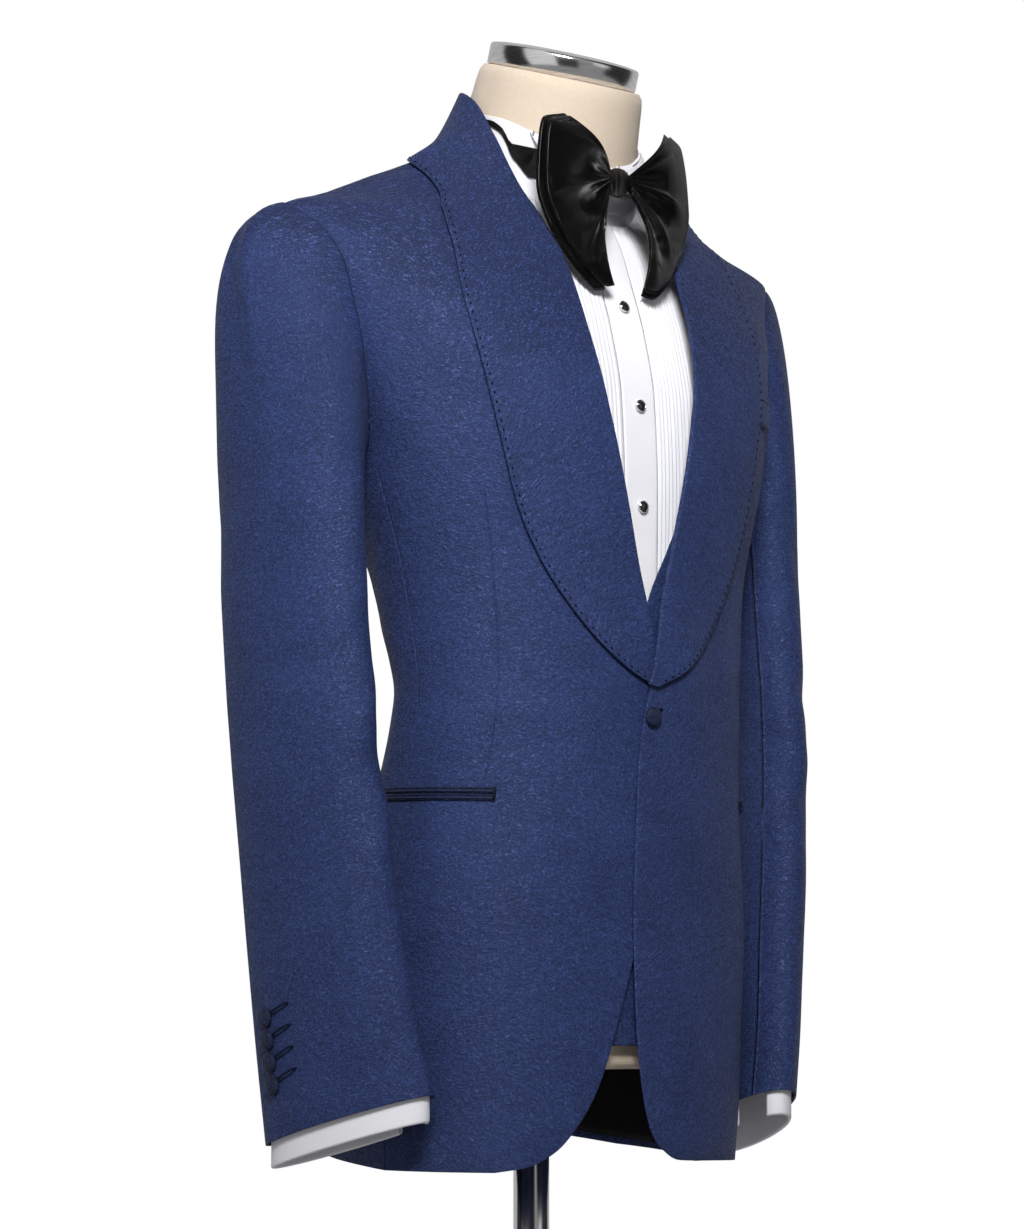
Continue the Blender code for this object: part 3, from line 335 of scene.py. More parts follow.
def tube(rows, columns, first=0, inward=False):
    """The faces of a tube of points, closed at both ends."""
    start, end = (list(range(first + at, first + at + columns)) for at in (0, (rows - 1) * columns))
    ends = [start, end[::-1]] if inward else [start[::-1], end]
    return strips(rows, columns, first, around=True, inward=inward) + ends


def arcs(points, axis):
    steps = np.linalg.norm(np.diff(points, axis=axis), axis=-1)
    return np.insert(np.cumsum(steps, axis=axis), 0, 0, axis=axis)


def thread_of(grid):
    """How far each point of a grid lies across the cloth, and along it."""
    return np.stack([arcs(grid, 1), arcs(grid, 0), np.zeros(grid.shape[:2])], -1)


def linen():
    """Fine beige jersey: close upright ribs, slubs, and a faint darker tone between."""
    finish = Finish("beige_linen", Roughness=0.92, Sheen_Weight=0.15)
    across, along, _ = finish.parts(finish.on_cloth())
    slub = finish.noise(420, 3)
    ribs = (across + finish.noise(60, 2) * 0.0012).wave(0.0013)
    grain = ribs * 0.5 + along.wave(0.0011) * 0.25 + slub - 0.5
    colour = finish.mix(grain.rise(-0.9, 0.9), (0.53, 0.424, 0.322), (0.665, 0.573, 0.467))
    handled = finish.noise(14, 2).rise(0.35, 0.7) * 0.25
    finish.set("Base Color", finish.mix(handled, colour, (0.555, 0.445, 0.33)))
    finish.bump(grain, 0.00022, 0.6)
    return finish


form_linen = linen()
angles = np.linspace(180, 540, FORM_COLUMNS + 1)[:-1]
rows = [skin(angles, height, FORM_LIFT) for height in np.linspace(FORM_BOTTOM, YOKE, 60)]
rows += [skin(angles, yoke_height(angles, share), FORM_LIFT) for share in np.linspace(0.12, 1.0, 8)]
foot = neck_seam(angles) + NECK_FOOT
rows += [neck_point(angles, between(foot, NECK_TOP, t), JERSEY * (min(4 * t, 1.0) - 1))
         for t in np.linspace(0.0, 1.0, 22)]
bottom = rows[0].mean(0)
rows[:0] = [between(bottom, rows[0], size) - np.array((0, 0, drop)) for size, drop in FORM_TURNED_UNDER]
rim = rows.pop()
rows += [rim - NECK_AXIS * 2 * JERSEY, between(rim, rim.mean(0), 0.012)]
torso = np.stack(rows)
form = add_mesh("linen_form", torso, tube(*torso.shape[:2]), [form_linen], "form_torso", thread_of(torso))
flat_ends(form)


# ------------------------------------------------------------------ cap, pole and base
# The neck is closed by a spun and brushed steel cap with a low crown; a plated steel tube runs
# down to a round weighted plate.
CAP_RADIUS, CAP_HEIGHT, CAP_SEAT = 0.0548, 0.0160, 0.0838
POLE_RADIUS, BASE_RADIUS, BASE_THICK = 0.0127, 0.1700, 0.0180


def brushed_steel(name, lines, roughness):
    """Plated steel with fine brush lines and a few wiped patches."""
    finish = Finish(name, "brushed_chrome", Metallic=1.0)
    streak = finish.noise(1.0, 4, where=finish.node(
        "Mapping", {"vector_type": "POINT"}, {"Vector": finish.place(), "Scale": lines}))
    wiped = finish.noise(16, 2).rise(0.42, 0.62)
    finish.set("Base Color", finish.mix(streak.rise(0.25, 0.8), (0.60, 0.595, 0.60), (0.86, 0.86, 0.87)))
    finish.set("Roughness", streak * 0.10 + wiped * 0.06 + (roughness - 0.05))
    finish.bump(streak, 0.00004, 0.5)
    return finish


def turned(name, node, centre, axis, profile, finishes, segments=64, zones=None):
    """A turned piece: its radius at each distance along an axis, closed at both ends."""
    axis = Vector(axis).normalized()
    across = axis.orthogonal().normalized()
    other = axis.cross(across)
    turns = [2 * math.pi * k / segments for k in range(segments)]
    points = [Vector(centre) + axis * along + (across * math.cos(a) + other * math.sin(a)) * radius
              for radius, along in profile for a in turns]
    piece = add_mesh(name, points, tube(len(profile), segments), finishes, node)
    flat_ends(piece)
    for polygon in piece.data.polygons if zones else ():
        polygon.material_index = zones[min(polygon.index // segments, len(profile) - 2)]


cap_steel = brushed_steel("cap_steel", (70, 70, 2600), 0.16)
pole_steel = brushed_steel("pole_steel", (420, 420, 9), 0.14)
base_steel = brushed_steel("base_steel", (240, 240, 240), 0.24)
turned("steel_cap", "neck_cap", NECK_BASE + NECK_AXIS * CAP_SEAT, NECK_AXIS,
       [(CAP_RADIUS - 0.001, 0.0), (CAP_RADIUS, 0.0008), (CAP_RADIUS, CAP_HEIGHT - 0.0022),
        (CAP_RADIUS - 0.0003, CAP_HEIGHT - 0.0012), (CAP_RADIUS - 0.0010, CAP_HEIGHT - 0.0003),
        (CAP_RADIUS - 0.0022, CAP_HEIGHT + 0.0002), (CAP_RADIUS * 0.85, CAP_HEIGHT + 0.0013),
        (CAP_RADIUS * 0.6, CAP_HEIGHT + 0.0024), (CAP_RADIUS * 0.3, CAP_HEIGHT + 0.0029),
        (CAP_RADIUS * 0.04, CAP_HEIGHT + 0.0030)], [cap_steel], 96)
turned("steel_pole", "pole", (0, 0, 0), (0, 0, 1),
       [(POLE_RADIUS - 0.0007, BASE_THICK + 0.0003), (POLE_RADIUS, BASE_THICK + 0.0010), (POLE_RADIUS, 0.40),
        (POLE_RADIUS, FORM_BOTTOM - 0.0075), (POLE_RADIUS - 0.0007, FORM_BOTTOM - 0.0065)], [pole_steel], 64)
turned("steel_base", "base", (0, 0, 0), (0, 0, 1),
       [(BASE_RADIUS - 0.0010, 0.0), (BASE_RADIUS, 0.0010), (BASE_RADIUS, 0.0110),
        (BASE_RADIUS - 0.0006, 0.0140), (BASE_RADIUS - 0.0020, 0.0162), (BASE_RADIUS - 0.0044, 0.0176),
        (BASE_RADIUS - 0.0080, BASE_THICK), (0.09, BASE_THICK), (0.02, BASE_THICK)], [base_steel], 128)


# ------------------------------------------------------------------ shirt body
# Fine white cotton poplin, cut as two fronts and a back that are sewn at the sides and
# shoulders. It is worn close over the form, and its neck edge is set into the collar.
SIDES = ((-1, "right"), (1, "left"))
SHIRT_LIFT, SHIRT_WALL = -0.0100, 0.0010
SHIRT_FRONT_BOTTOM, SHIRT_BACK_BOTTOM = 0.862, 0.880
SEAM = 0.0003
SEAM_TURN = 0.03
CENTRE_TURN = 0.1
SHIRT_SIDE = [
    # height, front_side_angle, back_side_angle
    (0.862, 90, 90), (1.205, 90, 90), (1.265, 87, 95), (1.325, 82, 105), (1.380, 82, 103), (1.430, 90, 90),
]
SHIRT_SIDES = Curve(SHIRT_SIDE)
NECK_EDGE, NECK_RUN, NECK_EDGE_OUT = (1.35, 1.7, 2.0), 0.0085, 0.0016
# What a piece is cut larger than its finished arcs, the narrowest flat piece that is reckoned, and
# the least share of its rectangle that a piece fills.
FLAT_ALLOWANCE, LEAST_FLAT, LEAST_FILL = 1.01, 0.0102, 0.31


def cotton():
    """White poplin: a tight plain weave under a soft, faintly cool white."""
    finish = Finish("white_shirting", Roughness=0.82, Sheen_Weight=0.08)
    across, along, _ = finish.parts(finish.on_cloth())
    weave = across.wave(0.0006) * along.wave(0.0006)
    soft = finish.noise(9, 3)
    finish.set("Base Color", finish.mix(soft.rise(0.3, 0.7), (0.715, 0.715, 0.760), (0.77, 0.77, 0.80)))
    finish.bump(weave * 0.35 + finish.noise(55, 3) * 2.0, 0.0004, 0.35)
    return finish


def soft_step(low, high, value):
    t = np.clip((value - low) / (high - low), 0.0, 1.0)
    return t * t * (3 - 2 * t)


def shirt_lift(angle, height):
    """The shirt's outer face; it comes down onto the form towards the neck."""
    share = soft_step(0.0, 0.9, (height - YOKE) / (yoke_height(angle, 1.0) - YOKE))
    return between(SHIRT_LIFT, FORM_LIFT + 0.0015, share)


def layer_rows(low, below, above):
    """Rows up to the yoke line, as heights, and over it, as shares of the way to the neck."""
    return ([(height, 0.0) for height in np.linspace(low, YOKE, below)]
            + [(YOKE, share) for share in np.linspace(0, 1, above + 1)[1:]])


def height_on(angle, height, share):
    return np.where(share > 0, yoke_height(angle, share), height)


def shirt_grid(places):
    """Rows of the shirt; its neck edge runs on up the form, into the collar's stand."""
    rows = []
    for angle, height, share in places:
        if share <= 1:
            height = height_on(angle, height, share)
            rows.append(skin(angle, height, shirt_lift(angle, height)))
        else:
            rows.append(neck_point(angle, neck_seam(angle) + NECK_RUN * (share - 1), NECK_EDGE_OUT))
    return np.array(rows)


def grid_normals(points):
    return unit(np.cross(np.gradient(points, axis=1), np.gradient(points, axis=0)))


def mirrored(points, side):
    """The same grid for the wearer's other side, still facing out."""
    return points if side > 0 else points[:, ::-1] * np.array((-1.0, 1.0, 1.0))


def cloth(node, word, outer, wall, finish, roll=0.35):
    """A wall of cloth below a grid of points, with rolled edges; the size of its flat piece is worked out
    but not used.
    """
    rows, columns = outer.shape[:2]
    count = rows * columns
    out = grid_normals(outer)
    drop = np.zeros((rows, columns, 1))
    for ring, share in ((1, 0.3 * roll), (0, roll)):
        drop[[ring, -1 - ring]] = wall * share
        drop[:, [ring, -1 - ring]] = np.maximum(drop[:, [ring, -1 - ring]], wall * share)
    points = np.concatenate([outer - out * drop, outer - out * wall + out * drop])
    at = np.arange(count).reshape(rows, columns)
    rim = np.concatenate([at[0], at[1:, -1], at[-1, -2::-1], at[-2::-1, 0]]).tolist()
    faces = strips(rows, columns) + strips(rows, columns, count, inward=True)
    faces += [[b, a, a + count, b + count] for a, b in zip(rim[:-1], rim[1:])]
    thread = thread_of(outer)
    piece = add_mesh(f"{node}_{word}", points, faces, [finish], node, np.concatenate([thread, thread]))
    reach = thread[..., :2].reshape(-1, 2).max(0) * FLAT_ALLOWANCE
    width, length = (max(size, LEAST_FLAT) for size in reach)
    corners = np.cross(outer[1:, 1:] - outer[:-1, :-1], outer[1:, :-1] - outer[:-1, 1:])
    area = 0.5 * np.linalg.norm(corners, axis=-1).sum()
    min(max(area, LEAST_FILL * width * length), width * length)


shirting = cotton()
neck_rows = [(YOKE, share) for share in NECK_EDGE]
places = [(np.linspace(CENTRE_TURN, SHIRT_SIDES.at(height)[0] - 2 * SEAM_TURN, 40), height, share)
          for height, share in layer_rows(SHIRT_FRONT_BOTTOM, 52, 8) + neck_rows]
for side, hand in SIDES:
    cloth(f"shirt_front_{hand}", "cotton", mirrored(shirt_grid(places), side), SHIRT_WALL, shirting)
places = [(180 + (180 - SHIRT_SIDES.at(height)[1] - 2 * SEAM_TURN) * np.linspace(-1, 1, 64), height, share)
          for height, share in layer_rows(SHIRT_BACK_BOTTOM, 52, 8) + neck_rows]
cloth("shirt_back", "cotton", shirt_grid(places), SHIRT_WALL, shirting)

# ------------------------------------------------------------------ pleated bib and placket
# Each bib is tucked into eleven narrow pleats that lie towards the side, sewn on the front;
# a plain placket covers the opening between them.
PLEATS, PLEAT_PITCH, PLEAT_RISE, PLEAT_FACE = 11, 0.0035, 0.000805, 0.9
PLEAT_FOLD = np.array([
    # across, rise
    (0.0, 0.05), (0.25, 0.30), (0.55, 0.62), (0.80, 0.90), (0.93, 1.0), (1.0, 0.88),
])
BIB_WALL, PLACKET_WALL, PLACKET_HALF = 0.0007, 0.0015, 0.0150
BIB_OUT = SEAM + SHIRT_WALL
PLACKET_OUT = BIB_OUT + 0.0006
bib_rows = layer_rows(1.150, 60, 10)


def spaced(count, span, edge=0.0007):
    """Even places from 0 to 1, with two more close to each end, where the edge is rolled."""
    near = [edge / span, 3 * edge / span]
    return np.array([0.0, *near, *np.linspace(0, 1, count)[1:-1], 1 - near[1], 1 - near[0], 1.0])


def on_shirt(across, out, rows=bib_rows):
    """The points of the shirt's front at these distances from the centre line."""
    angle = np.linspace(0, 50, 101)
    grid = []
    for height, share in rows:
        z = height_on(angle, height, share)
        line, out_of = skin(angle, z, shirt_lift(angle, z)), body_normal(angle, z)
        line[0, 0] = 0.0
        x = np.abs(across)
        point, normal = (np.stack([np.interp(x, line[:, 0], values[:, k]) for k in range(3)], -1)
                         for values in (line, out_of))
        point = point + unit(normal) * np.asarray(out)[..., None]
        point[:, 0] = np.copysign(x, across)
        grid.append(point)
    return np.array(grid)


across = np.concatenate([PLACKET_HALF + SEAM + (pleat + PLEAT_FOLD[:, 0] * PLEAT_FACE) * PLEAT_PITCH
                         for pleat in range(PLEATS)])
grid = on_shirt(across, BIB_OUT + np.tile(PLEAT_FOLD[:, 1] * PLEAT_RISE, PLEATS))
uneven = np.sin(grid[..., 2:] * 37 + across[None, :, None] * 900) * 0.00009
for side, hand in SIDES:
    cloth(f"bib_{hand}", "pleats", mirrored(grid + uneven * np.array((1, -1, 0)), side), BIB_WALL, shirting,
          roll=0.1)
across = (spaced(12, 0.029) * 2 - 1) * (PLACKET_HALF - SEAM)
cloth("placket", "strip", on_shirt(across, PLACKET_OUT), PLACKET_WALL, shirting)

# ------------------------------------------------------------------ studs
# Polished black domes in bright metal rims. Each is pushed through the placket, and holds it
# shut in place of a button.
STUD_HEIGHTS = (1.379, 1.304, 1.232)
STUD_RADIUS, STUD_DEPTH = 0.0044, 0.0030
STUD_PROFILE = [
    # radius and distance out, as shares of the stud's radius and depth
    (0.86, 0.0), (1.0, 0.2), (1.0, 0.55), (0.93, 0.74), (0.83, 0.74), (0.80, 0.60),
    (0.74, 0.80), (0.55, 0.93), (0.30, 1.0), (0.04, 1.02),
]
STUD_DOME, STUD_RIM = 0, 1
stud_black = Finish("black_onyx", Roughness=0.06, Coat_Weight=0.6)
stud_black.mottle(700, 2, (0.004, 0.004, 0.005), (0.020, 0.020, 0.022))
stud_rim = Finish("stud_rim", Metallic=1.0)
stud_rim.mottle(900, 2, (0.80, 0.79, 0.77), (0.93, 0.92, 0.91))
stud_rim.set("Roughness", stud_rim.noise(600, 2) * 0.1 + 0.10)
for index, height in enumerate(STUD_HEIGHTS):
    seat = on_shirt(np.array([0.0, 0.002]), PLACKET_OUT + 0.0002,
                    [(height - 0.002, 0.0), (height + 0.002, 0.0)])
    outward = np.cross([1.0, 0.0, 0.0], seat[1, 0] - seat[0, 0])
    turned(f"stud_{index + 1}_set", f"stud_{index + 1}", (seat[0, 0] + seat[1, 0]) / 2, outward,
           [(STUD_RADIUS * radius, STUD_DEPTH * along) for radius, along in STUD_PROFILE],
           [stud_black, stud_rim], 40, zones=[STUD_RIM] * 5 + [STUD_DOME] * 4)

# ------------------------------------------------------------------ shirt collar
# A stiff stand round the neck, sewn to the shirt's neck edge, with two small pointed wings
# folded down over the tie. One pearly button closes it in front.
BAND_FOOT, BAND_TOP, STAND_OUT = 0.006, 0.047, 0.0008
COLLAR_FRONT_DIP = 0.019
WING_START, WING_SPAN, WING_REACH, WING_OUT, WING_EDGE = 8.0, 42.0, 0.0175, 0.0048, 0.0015
WING_FOLD_IN, WING_SPRING, WING_BEND = 0.0026, 0.0050, 0.0025


def stand_top(angle):
    """How far along the neck the collar's stand reaches; it dips in front."""
    return BAND_TOP - COLLAR_FRONT_DIP * (1 - soft_step(0, 75, np.minimum(angle, 360 - angle)))


angles = np.linspace(2, 358, 120)
foot = neck_seam(angles) + BAND_FOOT
along = between(foot, stand_top(angles), spaced(12, 0.04)[:, None])
cloth("shirt_collar", "stand", neck_point(angles, along, STAND_OUT + SHIRT_WALL), SHIRT_WALL, shirting)
s, t = spaced(26, 0.03)[None, :], spaced(14, 0.017)[::-1, None]
angle = WING_START + WING_SPAN * s
reach = WING_EDGE + WING_REACH * (1 - s ** 3)
fold_out = WING_OUT - WING_FOLD_IN * soft_step(22, 34, angle)
spring = WING_OUT - fold_out + WING_SPRING * np.sin(np.pi * t / 2) * reach / (WING_EDGE + WING_REACH)
wing = neck_point(angle, stand_top(angle) + WING_EDGE - reach * t,
                  fold_out + spring * (1 - np.exp(-reach * t / WING_BEND)))
for side, hand in SIDES:
    cloth(f"collar_wing_{hand}", "fold", mirrored(wing, side), SHIRT_WALL, shirting)
pearl = Finish("white_button", Roughness=0.22, Coat_Weight=0.4)
pearl.mottle(300, 3, (0.70, 0.69, 0.66), (0.86, 0.86, 0.86))
turned("collar_button_pearl", "collar_button", neck_point(0, 0.0015, 0.0022),
       (0, -math.cos(NECK_LEAN), -math.sin(NECK_LEAN)),
       [(0.0040, 0.0), (0.0048, 0.0007), (0.0047, 0.0015), (0.0041, 0.0021), (0.0032, 0.0016),
        (0.0010, 0.0014)], [pearl], 40)

# ------------------------------------------------------------------ shirt sleeves and cuffs
# Each sleeve is a plain tube inside the jacket's, in an upper and an under half; the stiff
# double cuff is folded back on itself at its lower edge and shows below the jacket.
SLEEVE = [
    # height, centre_x, centre_y, depth, width, turn, rise
    (1.235, 0.2079, 0.0034, 0.0622, 0.0320, 12, 0),
    (1.180, 0.2081, -0.0010, 0.0616, 0.0305, 13, 0),
    (1.120, 0.2080, -0.0071, 0.0612, 0.0292, 14, 0),
    (1.060, 0.2055, -0.0122, 0.0608, 0.0285, 15, 1),
    (1.000, 0.2006, -0.0165, 0.0612, 0.0280, 16, 3),
    (0.930, 0.1935, -0.0207, 0.0625, 0.0275, 17, 7),
    (0.870, 0.1870, -0.0254, 0.0640, 0.0272, 18, 11),
    (0.8125, 0.1785, -0.0300, 0.0662, 0.0270, 20, 15),
]
ARMHOLE = [
    # round, angle, height
    (0, 78.7, 1.335), (30, 80.5, 1.385), (60, 85.0, 1.420), (90, 93.0, 1.4365),
    (120, 100.0, 1.418), (150, 105.0, 1.385), (180, 107.0, 1.345), (210, 108.5, 1.305),
    (240, 108.0, 1.270), (270, 97.0, 1.2575), (300, 85.0, 1.2625), (330, 80.0, 1.295),
    (360, 78.7, 1.335),
]
SLEEVE_CURVE = Curve([(-row[0],) + row[1:] for row in SLEEVE])
ARMHOLE_CURVE = Curve(ARMHOLE)
SLEEVE_TOP, SLEEVE_HEM = SLEEVE[0][0], SLEEVE[-1][0]
SLEEVE_LIFT = 0.0023
ARMHOLE_ANGLE, ARMHOLE_HEIGHT = 93.0, 1.345
HEAD_OVERLAP = 0.0020
CUFF_SHOWS, CUFF_HEIGHT, CUFF_CLEAR, CUFF_FOLD, CUFF_SIDE = 0.0165, 0.070, 0.0042, 0.0016, 0.055
CUFF_OPENING = (-62.0, -22.0)
SHIRT_SLEEVE_LIFT, SHIRT_SLEEVE_TIGHT = SHIRT_LIFT + SHIRT_WALL + 2 * SEAM, 0.80


def sleeve_ring(height, round_angle, inset=0.0):
    height, round_angle = np.broadcast_arrays(np.asarray(height, float), np.asarray(round_angle, float))
    centre_x, centre_y, depth, width, turn, rise = np.moveaxis(SLEEVE_CURVE.at(-height), -1, 0)
    turn, round_angle = np.radians(turn), np.radians(round_angle)
    forward, outward = (depth - inset) * np.cos(round_angle), (width - inset) * np.sin(round_angle)
    return np.stack([centre_x - forward * np.sin(turn) + outward * np.cos(turn),
                     centre_y - forward * np.cos(turn) - outward * np.sin(turn),
                     height + forward * np.tan(np.radians(rise))], -1)


def sleeve_head(t, round_angle, inset, lift, tight):
    """Points between the armhole and the sleeve's first full ring, on a soft arch.

    Only the jacket's own head is full size, and laps a little over the top of the shoulder.
    """
    angle, height = np.moveaxis(ARMHOLE_CURVE.at(round_angle % 360), -1, 0)
    if tight == 1.0:
        at_top = np.exp(-((round_angle - 90.0) / 32.0) ** 2)
        lift = (lift - HEAD_OVERLAP * at_top) * (1.0 if t > 0 else 0.08) + 0.0004 * at_top
        height = height + HEAD_OVERLAP * at_top
    start = skin(between(ARMHOLE_ANGLE, angle, tight), between(ARMHOLE_HEIGHT, height, tight), lift)
    end = sleeve_ring(SLEEVE_TOP, round_angle, inset)
    top, forward = np.sin(np.radians(round_angle)), np.cos(np.radians(round_angle))
    span = np.linalg.norm(end - start, axis=-1)[..., None]
    leave = np.stack([0.62 + 0.20 * top - 0.30 * forward, 0.49 * top - 0.25 * forward,
                      0.33 * top - 0.45], -1) * span
    arrive = np.array((0.0, 0.0, -1.2)) * span
    return (start * (1 + 2 * t) * (1 - t) ** 2 + leave * t * (1 - t) ** 2
            + end * t * t * (3 - 2 * t) + arrive * t * t * (t - 1))


def sleeve_grid(rounds, inset, lowest, count, head, lift=SLEEVE_LIFT, tight=1.0):
    """Rows of a sleeve from its lower edge up to the armhole."""
    rows = [sleeve_ring(between(lowest, SLEEVE_TOP, t), rounds, inset) for t in np.linspace(0, 1, count)]
    return np.array(rows + [sleeve_head(t, rounds, inset, lift, tight) for t in head])


cuff_bottom = SLEEVE_HEM - CUFF_SHOWS
cuff_top = SLEEVE_HEM + CUFF_HEIGHT - CUFF_SHOWS
cuff_outer = CUFF_CLEAR + 2 * CUFF_FOLD
cuff_profile = [(CUFF_CLEAR, cuff_top - CUFF_SIDE * t) for t in np.linspace(0, 1, 16)]
for bend in np.radians(np.linspace(0, 180, 9)):
    outward, upward = 1 - math.cos(bend), 1 - math.sin(bend)
    cuff_profile.append((CUFF_CLEAR + CUFF_FOLD * outward, cuff_bottom + CUFF_FOLD * upward))
cuff_profile += [(cuff_outer, cuff_bottom + CUFF_FOLD + CUFF_SIDE * t) for t in np.linspace(0.04, 1.0, 16)]
cuff_rounds = between(CUFF_OPENING[1], 360 + CUFF_OPENING[0], spaced(90, 0.27, 0.0005))
cuff_rows = []
for inset, height in reversed(cuff_profile):
    row = sleeve_ring(max(height, SLEEVE_HEM), cuff_rounds, inset)
    row[:, 2] += min(height - SLEEVE_HEM, 0.0)
    cuff_rows.append(row)
for side, hand in SIDES:
    for part, first in (("upper", -30), ("under", 150)):
        grid = sleeve_grid(np.linspace(first + 1.7, first + 178.3, 36), cuff_outer + SEAM, cuff_top + 0.001,
                           34, np.linspace(0.9, 0, 10), SHIRT_SLEEVE_LIFT, SHIRT_SLEEVE_TIGHT)
        cloth(f"shirt_sleeve_{part}_{hand}", "cotton", mirrored(grid, side), SHIRT_WALL, shirting)
    cloth(f"cuff_{hand}", "double", mirrored(np.array(cuff_rows), side), SHIRT_WALL, shirting)

# ------------------------------------------------------------------ vest
# A low-cut vest under the jacket. Its fronts are in the jacket's cloth and its back is in
# black lining, sewn together at the sides and shoulders.
VEST_LIFT, VEST_WALL = -0.0054, 0.0012
VEST_FRONT_BOTTOM, VEST_BACK_BOTTOM, VEST_TOP = 0.862, 0.985, 1.474
VEST = [
    # height, front_angle, front_side_angle, back_side_angle
    (0.862, 0.1, 98, 98), (1.000, 0.1, 98, 98), (1.060, 0.1, 98, 98), (1.105, 0.1, 98, 98),
    (1.150, 0.1, 98, 98), (1.205, 12, 98, 98), (1.265, 27, 88, 105), (1.325, 35, 76, 112),
    (1.380, 44, 71, 115), (1.430, 57, 76, 106), (1.4545, 68, 90, 90), (1.474, 80, 90, 90),
]
VEST_EDGES = Curve(VEST)
NAVY_TONES = (0.0058, 0.0122, 0.052), (0.040, 0.073, 0.240)


def jacquard(name="navy_jacquard", shade=1.0, small=False):
    """Navy jacquard: a satin figure like fine moss on a darker, duller ground, with painted shade and
    painted sheen on faces that look up.
    """
    finish = Finish(name, "navy_jacquard", Sheen_Weight=0.04, Sheen_Roughness=0.5,
                    Sheen_Tint=(0.35, 0.45, 1.0, 1.0), Specular_IOR_Level=0.30)
    place = finish.place() if small else finish.node(
        "VectorMath", {"operation": "MULTIPLY"}, (finish.on_cloth(), (0.66, 1.0, 1.0)))
    drift = finish.noise(26, 3)
    worm = abs(finish.noise(470, 1.2, 1.2, place) - 0.5)
    figure = 1 - worm.rise(0.014, 0.075)
    moss = finish.noise(820, 2, 0.8, place)
    # Painted shade and painted sheen: faces that look up are painted darker, and the figure is painted to
    # stand out more there.
    painted_top_shade = finish.parts(finish.node("TexCoord", output=1))[2].rise(0.10, 0.60)
    tone = figure * (0.42 + painted_top_shade * 0.85) + moss * (1.20 + painted_top_shade * 1.2) + drift * 0.30 - 0.56 - painted_top_shade * 1.46
    ground, raised = (tuple(np.array(colour) * shade) for colour in NAVY_TONES)
    finish.set("Base Color", finish.mix(tone, ground, raised))
    finish.set("Roughness", 0.74 - figure * 0.26)
    crepe = finish.noise(260, 3, 0.9, place)
    finish.bump(crepe + figure * 0.30 + moss * 0.35, 0.0012, 0.85)
    return finish


def satin_lining():
    """Black lining: a smooth twill that hardly shines."""
    finish = Finish("black_lining", Specular_IOR_Level=0.12)
    across, along, _ = finish.parts(finish.on_cloth())
    finish.mottle(30, 3, (0.0025, 0.0025, 0.0032), (0.006, 0.006, 0.0075))
    finish.set("Roughness", finish.noise(12, 2) * 0.15 + 0.36)
    finish.bump((across + along * 0.5).wave(0.0009) * 0.2 + finish.noise(45, 3), 0.0006, 0.4)
    return finish


navy = jacquard()
lining = satin_lining()
heights = between(VEST_FRONT_BOTTOM, VEST_TOP, spaced(86, 0.61))
edges = VEST_EDGES.at(heights)
angle = between(edges[:, :1], edges[:, 1:2] - 2 * SEAM_TURN, spaced(34, 0.2))
grid = skin(angle, np.broadcast_to(heights[:, None], angle.shape), VEST_LIFT)
for side, hand in SIDES:
    cloth(f"vest_front_{hand}", "cloth", mirrored(grid, side), VEST_WALL, navy)
heights = between(VEST_BACK_BOTTOM, VEST_TOP, spaced(70, 0.49))
back_half = 180 - VEST_EDGES.at(heights)[:, 2:] - 2 * SEAM_TURN
angle = between(180 - back_half, 180 + back_half, spaced(50, 0.3))
grid = skin(angle, np.broadcast_to(heights[:, None], angle.shape), VEST_LIFT)
cloth("vest_back", "lining", grid, VEST_WALL, lining)

# ------------------------------------------------------------------ jacket fronts
# Each front is one piece of jacquard with a long dart from the chest to the pocket; the left
# closes over the right on one button. Its edges are turned in and pressed flat.
JACKET_WALL = 0.0018
UNDER_HEAD = 2.2
DEGREE = 0.0026
BREAK_HEIGHT, BREAK_SPREAD = 1.122, 0.035
OVERLAP, OVERLAP_AT_BREAK = 0.0024, 0.0048
FRONT = [
    # right_angle, right_height, left_angle, left_height, side_angle, side_height
    (50.0, 0.7785, 22.0, 0.7838, 82.0, 0.7790),
    (41.0, 0.7820, 12.0, 0.7850, 82.0, 0.8000),
    (33.0, 0.7915, 5.0, 0.7920, 82.0, 0.8230),
    (26.0, 0.8090, 0.0, 0.8040, 82.0, 0.8480),
    (20.0, 0.8320, -3.5, 0.8260, 82.0, 0.8750),
    (15.0, 0.8620, -6.0, 0.8580, 82.0, 0.9050),
    (10.0, 0.8980, -7.3, 0.8950, 82.0, 0.9380),
    (4.0, 0.9450, -8.0, 0.9400, 82.0, 0.9750),
    (-2.0, 1.0000, -8.3, 1.0000, 82.0, 1.0200),
    (-6.0, 1.0500, -7.6, 1.0500, 82.0, 1.0650),
    (-7.0, 1.0850, -5.5, 1.0850, 82.0, 1.1000),
    (-3.2, 1.1080, -3.2, 1.1080, 82.0, 1.1220),
    (1.5, 1.1350, 1.5, 1.1350, 82.0, 1.1500),
    (7.0, 1.1750, 7.0, 1.1750, 82.0, 1.1850),
    (12.5, 1.2250, 12.5, 1.2250, 82.0, 1.2250),
    (16.8, 1.2660, 16.8, 1.2660, 82.0, 1.2600),
    (21.0, 1.3060, 21.0, 1.3060, 79.8, 1.3000),
    (26.0, 1.3520, 26.0, 1.3520, 78.5, 1.3420),
    (31.5, 1.3920, 31.5, 1.3920, 80.0, 1.3800),
    (39.0, 1.4240, 39.0, 1.4240, 83.5, 1.4120),
    (50.0, 1.4580, 50.0, 1.4580, 91.0, 1.4340),
    (63.0, 1.4800, 63.0, 1.4800, 93.0, 1.4580),
    (77.0, 1.4930, 77.0, 1.4930, 93.0, 1.4800),
    (86.0, 1.4970, 86.0, 1.4970, 93.0, 1.4960),
]
FRONT_CURVE = Curve(FRONT, keys=range(len(FRONT)))
DART_LOW, DART_HIGH = (57.6, 1.0386), (55.0, 1.2416)
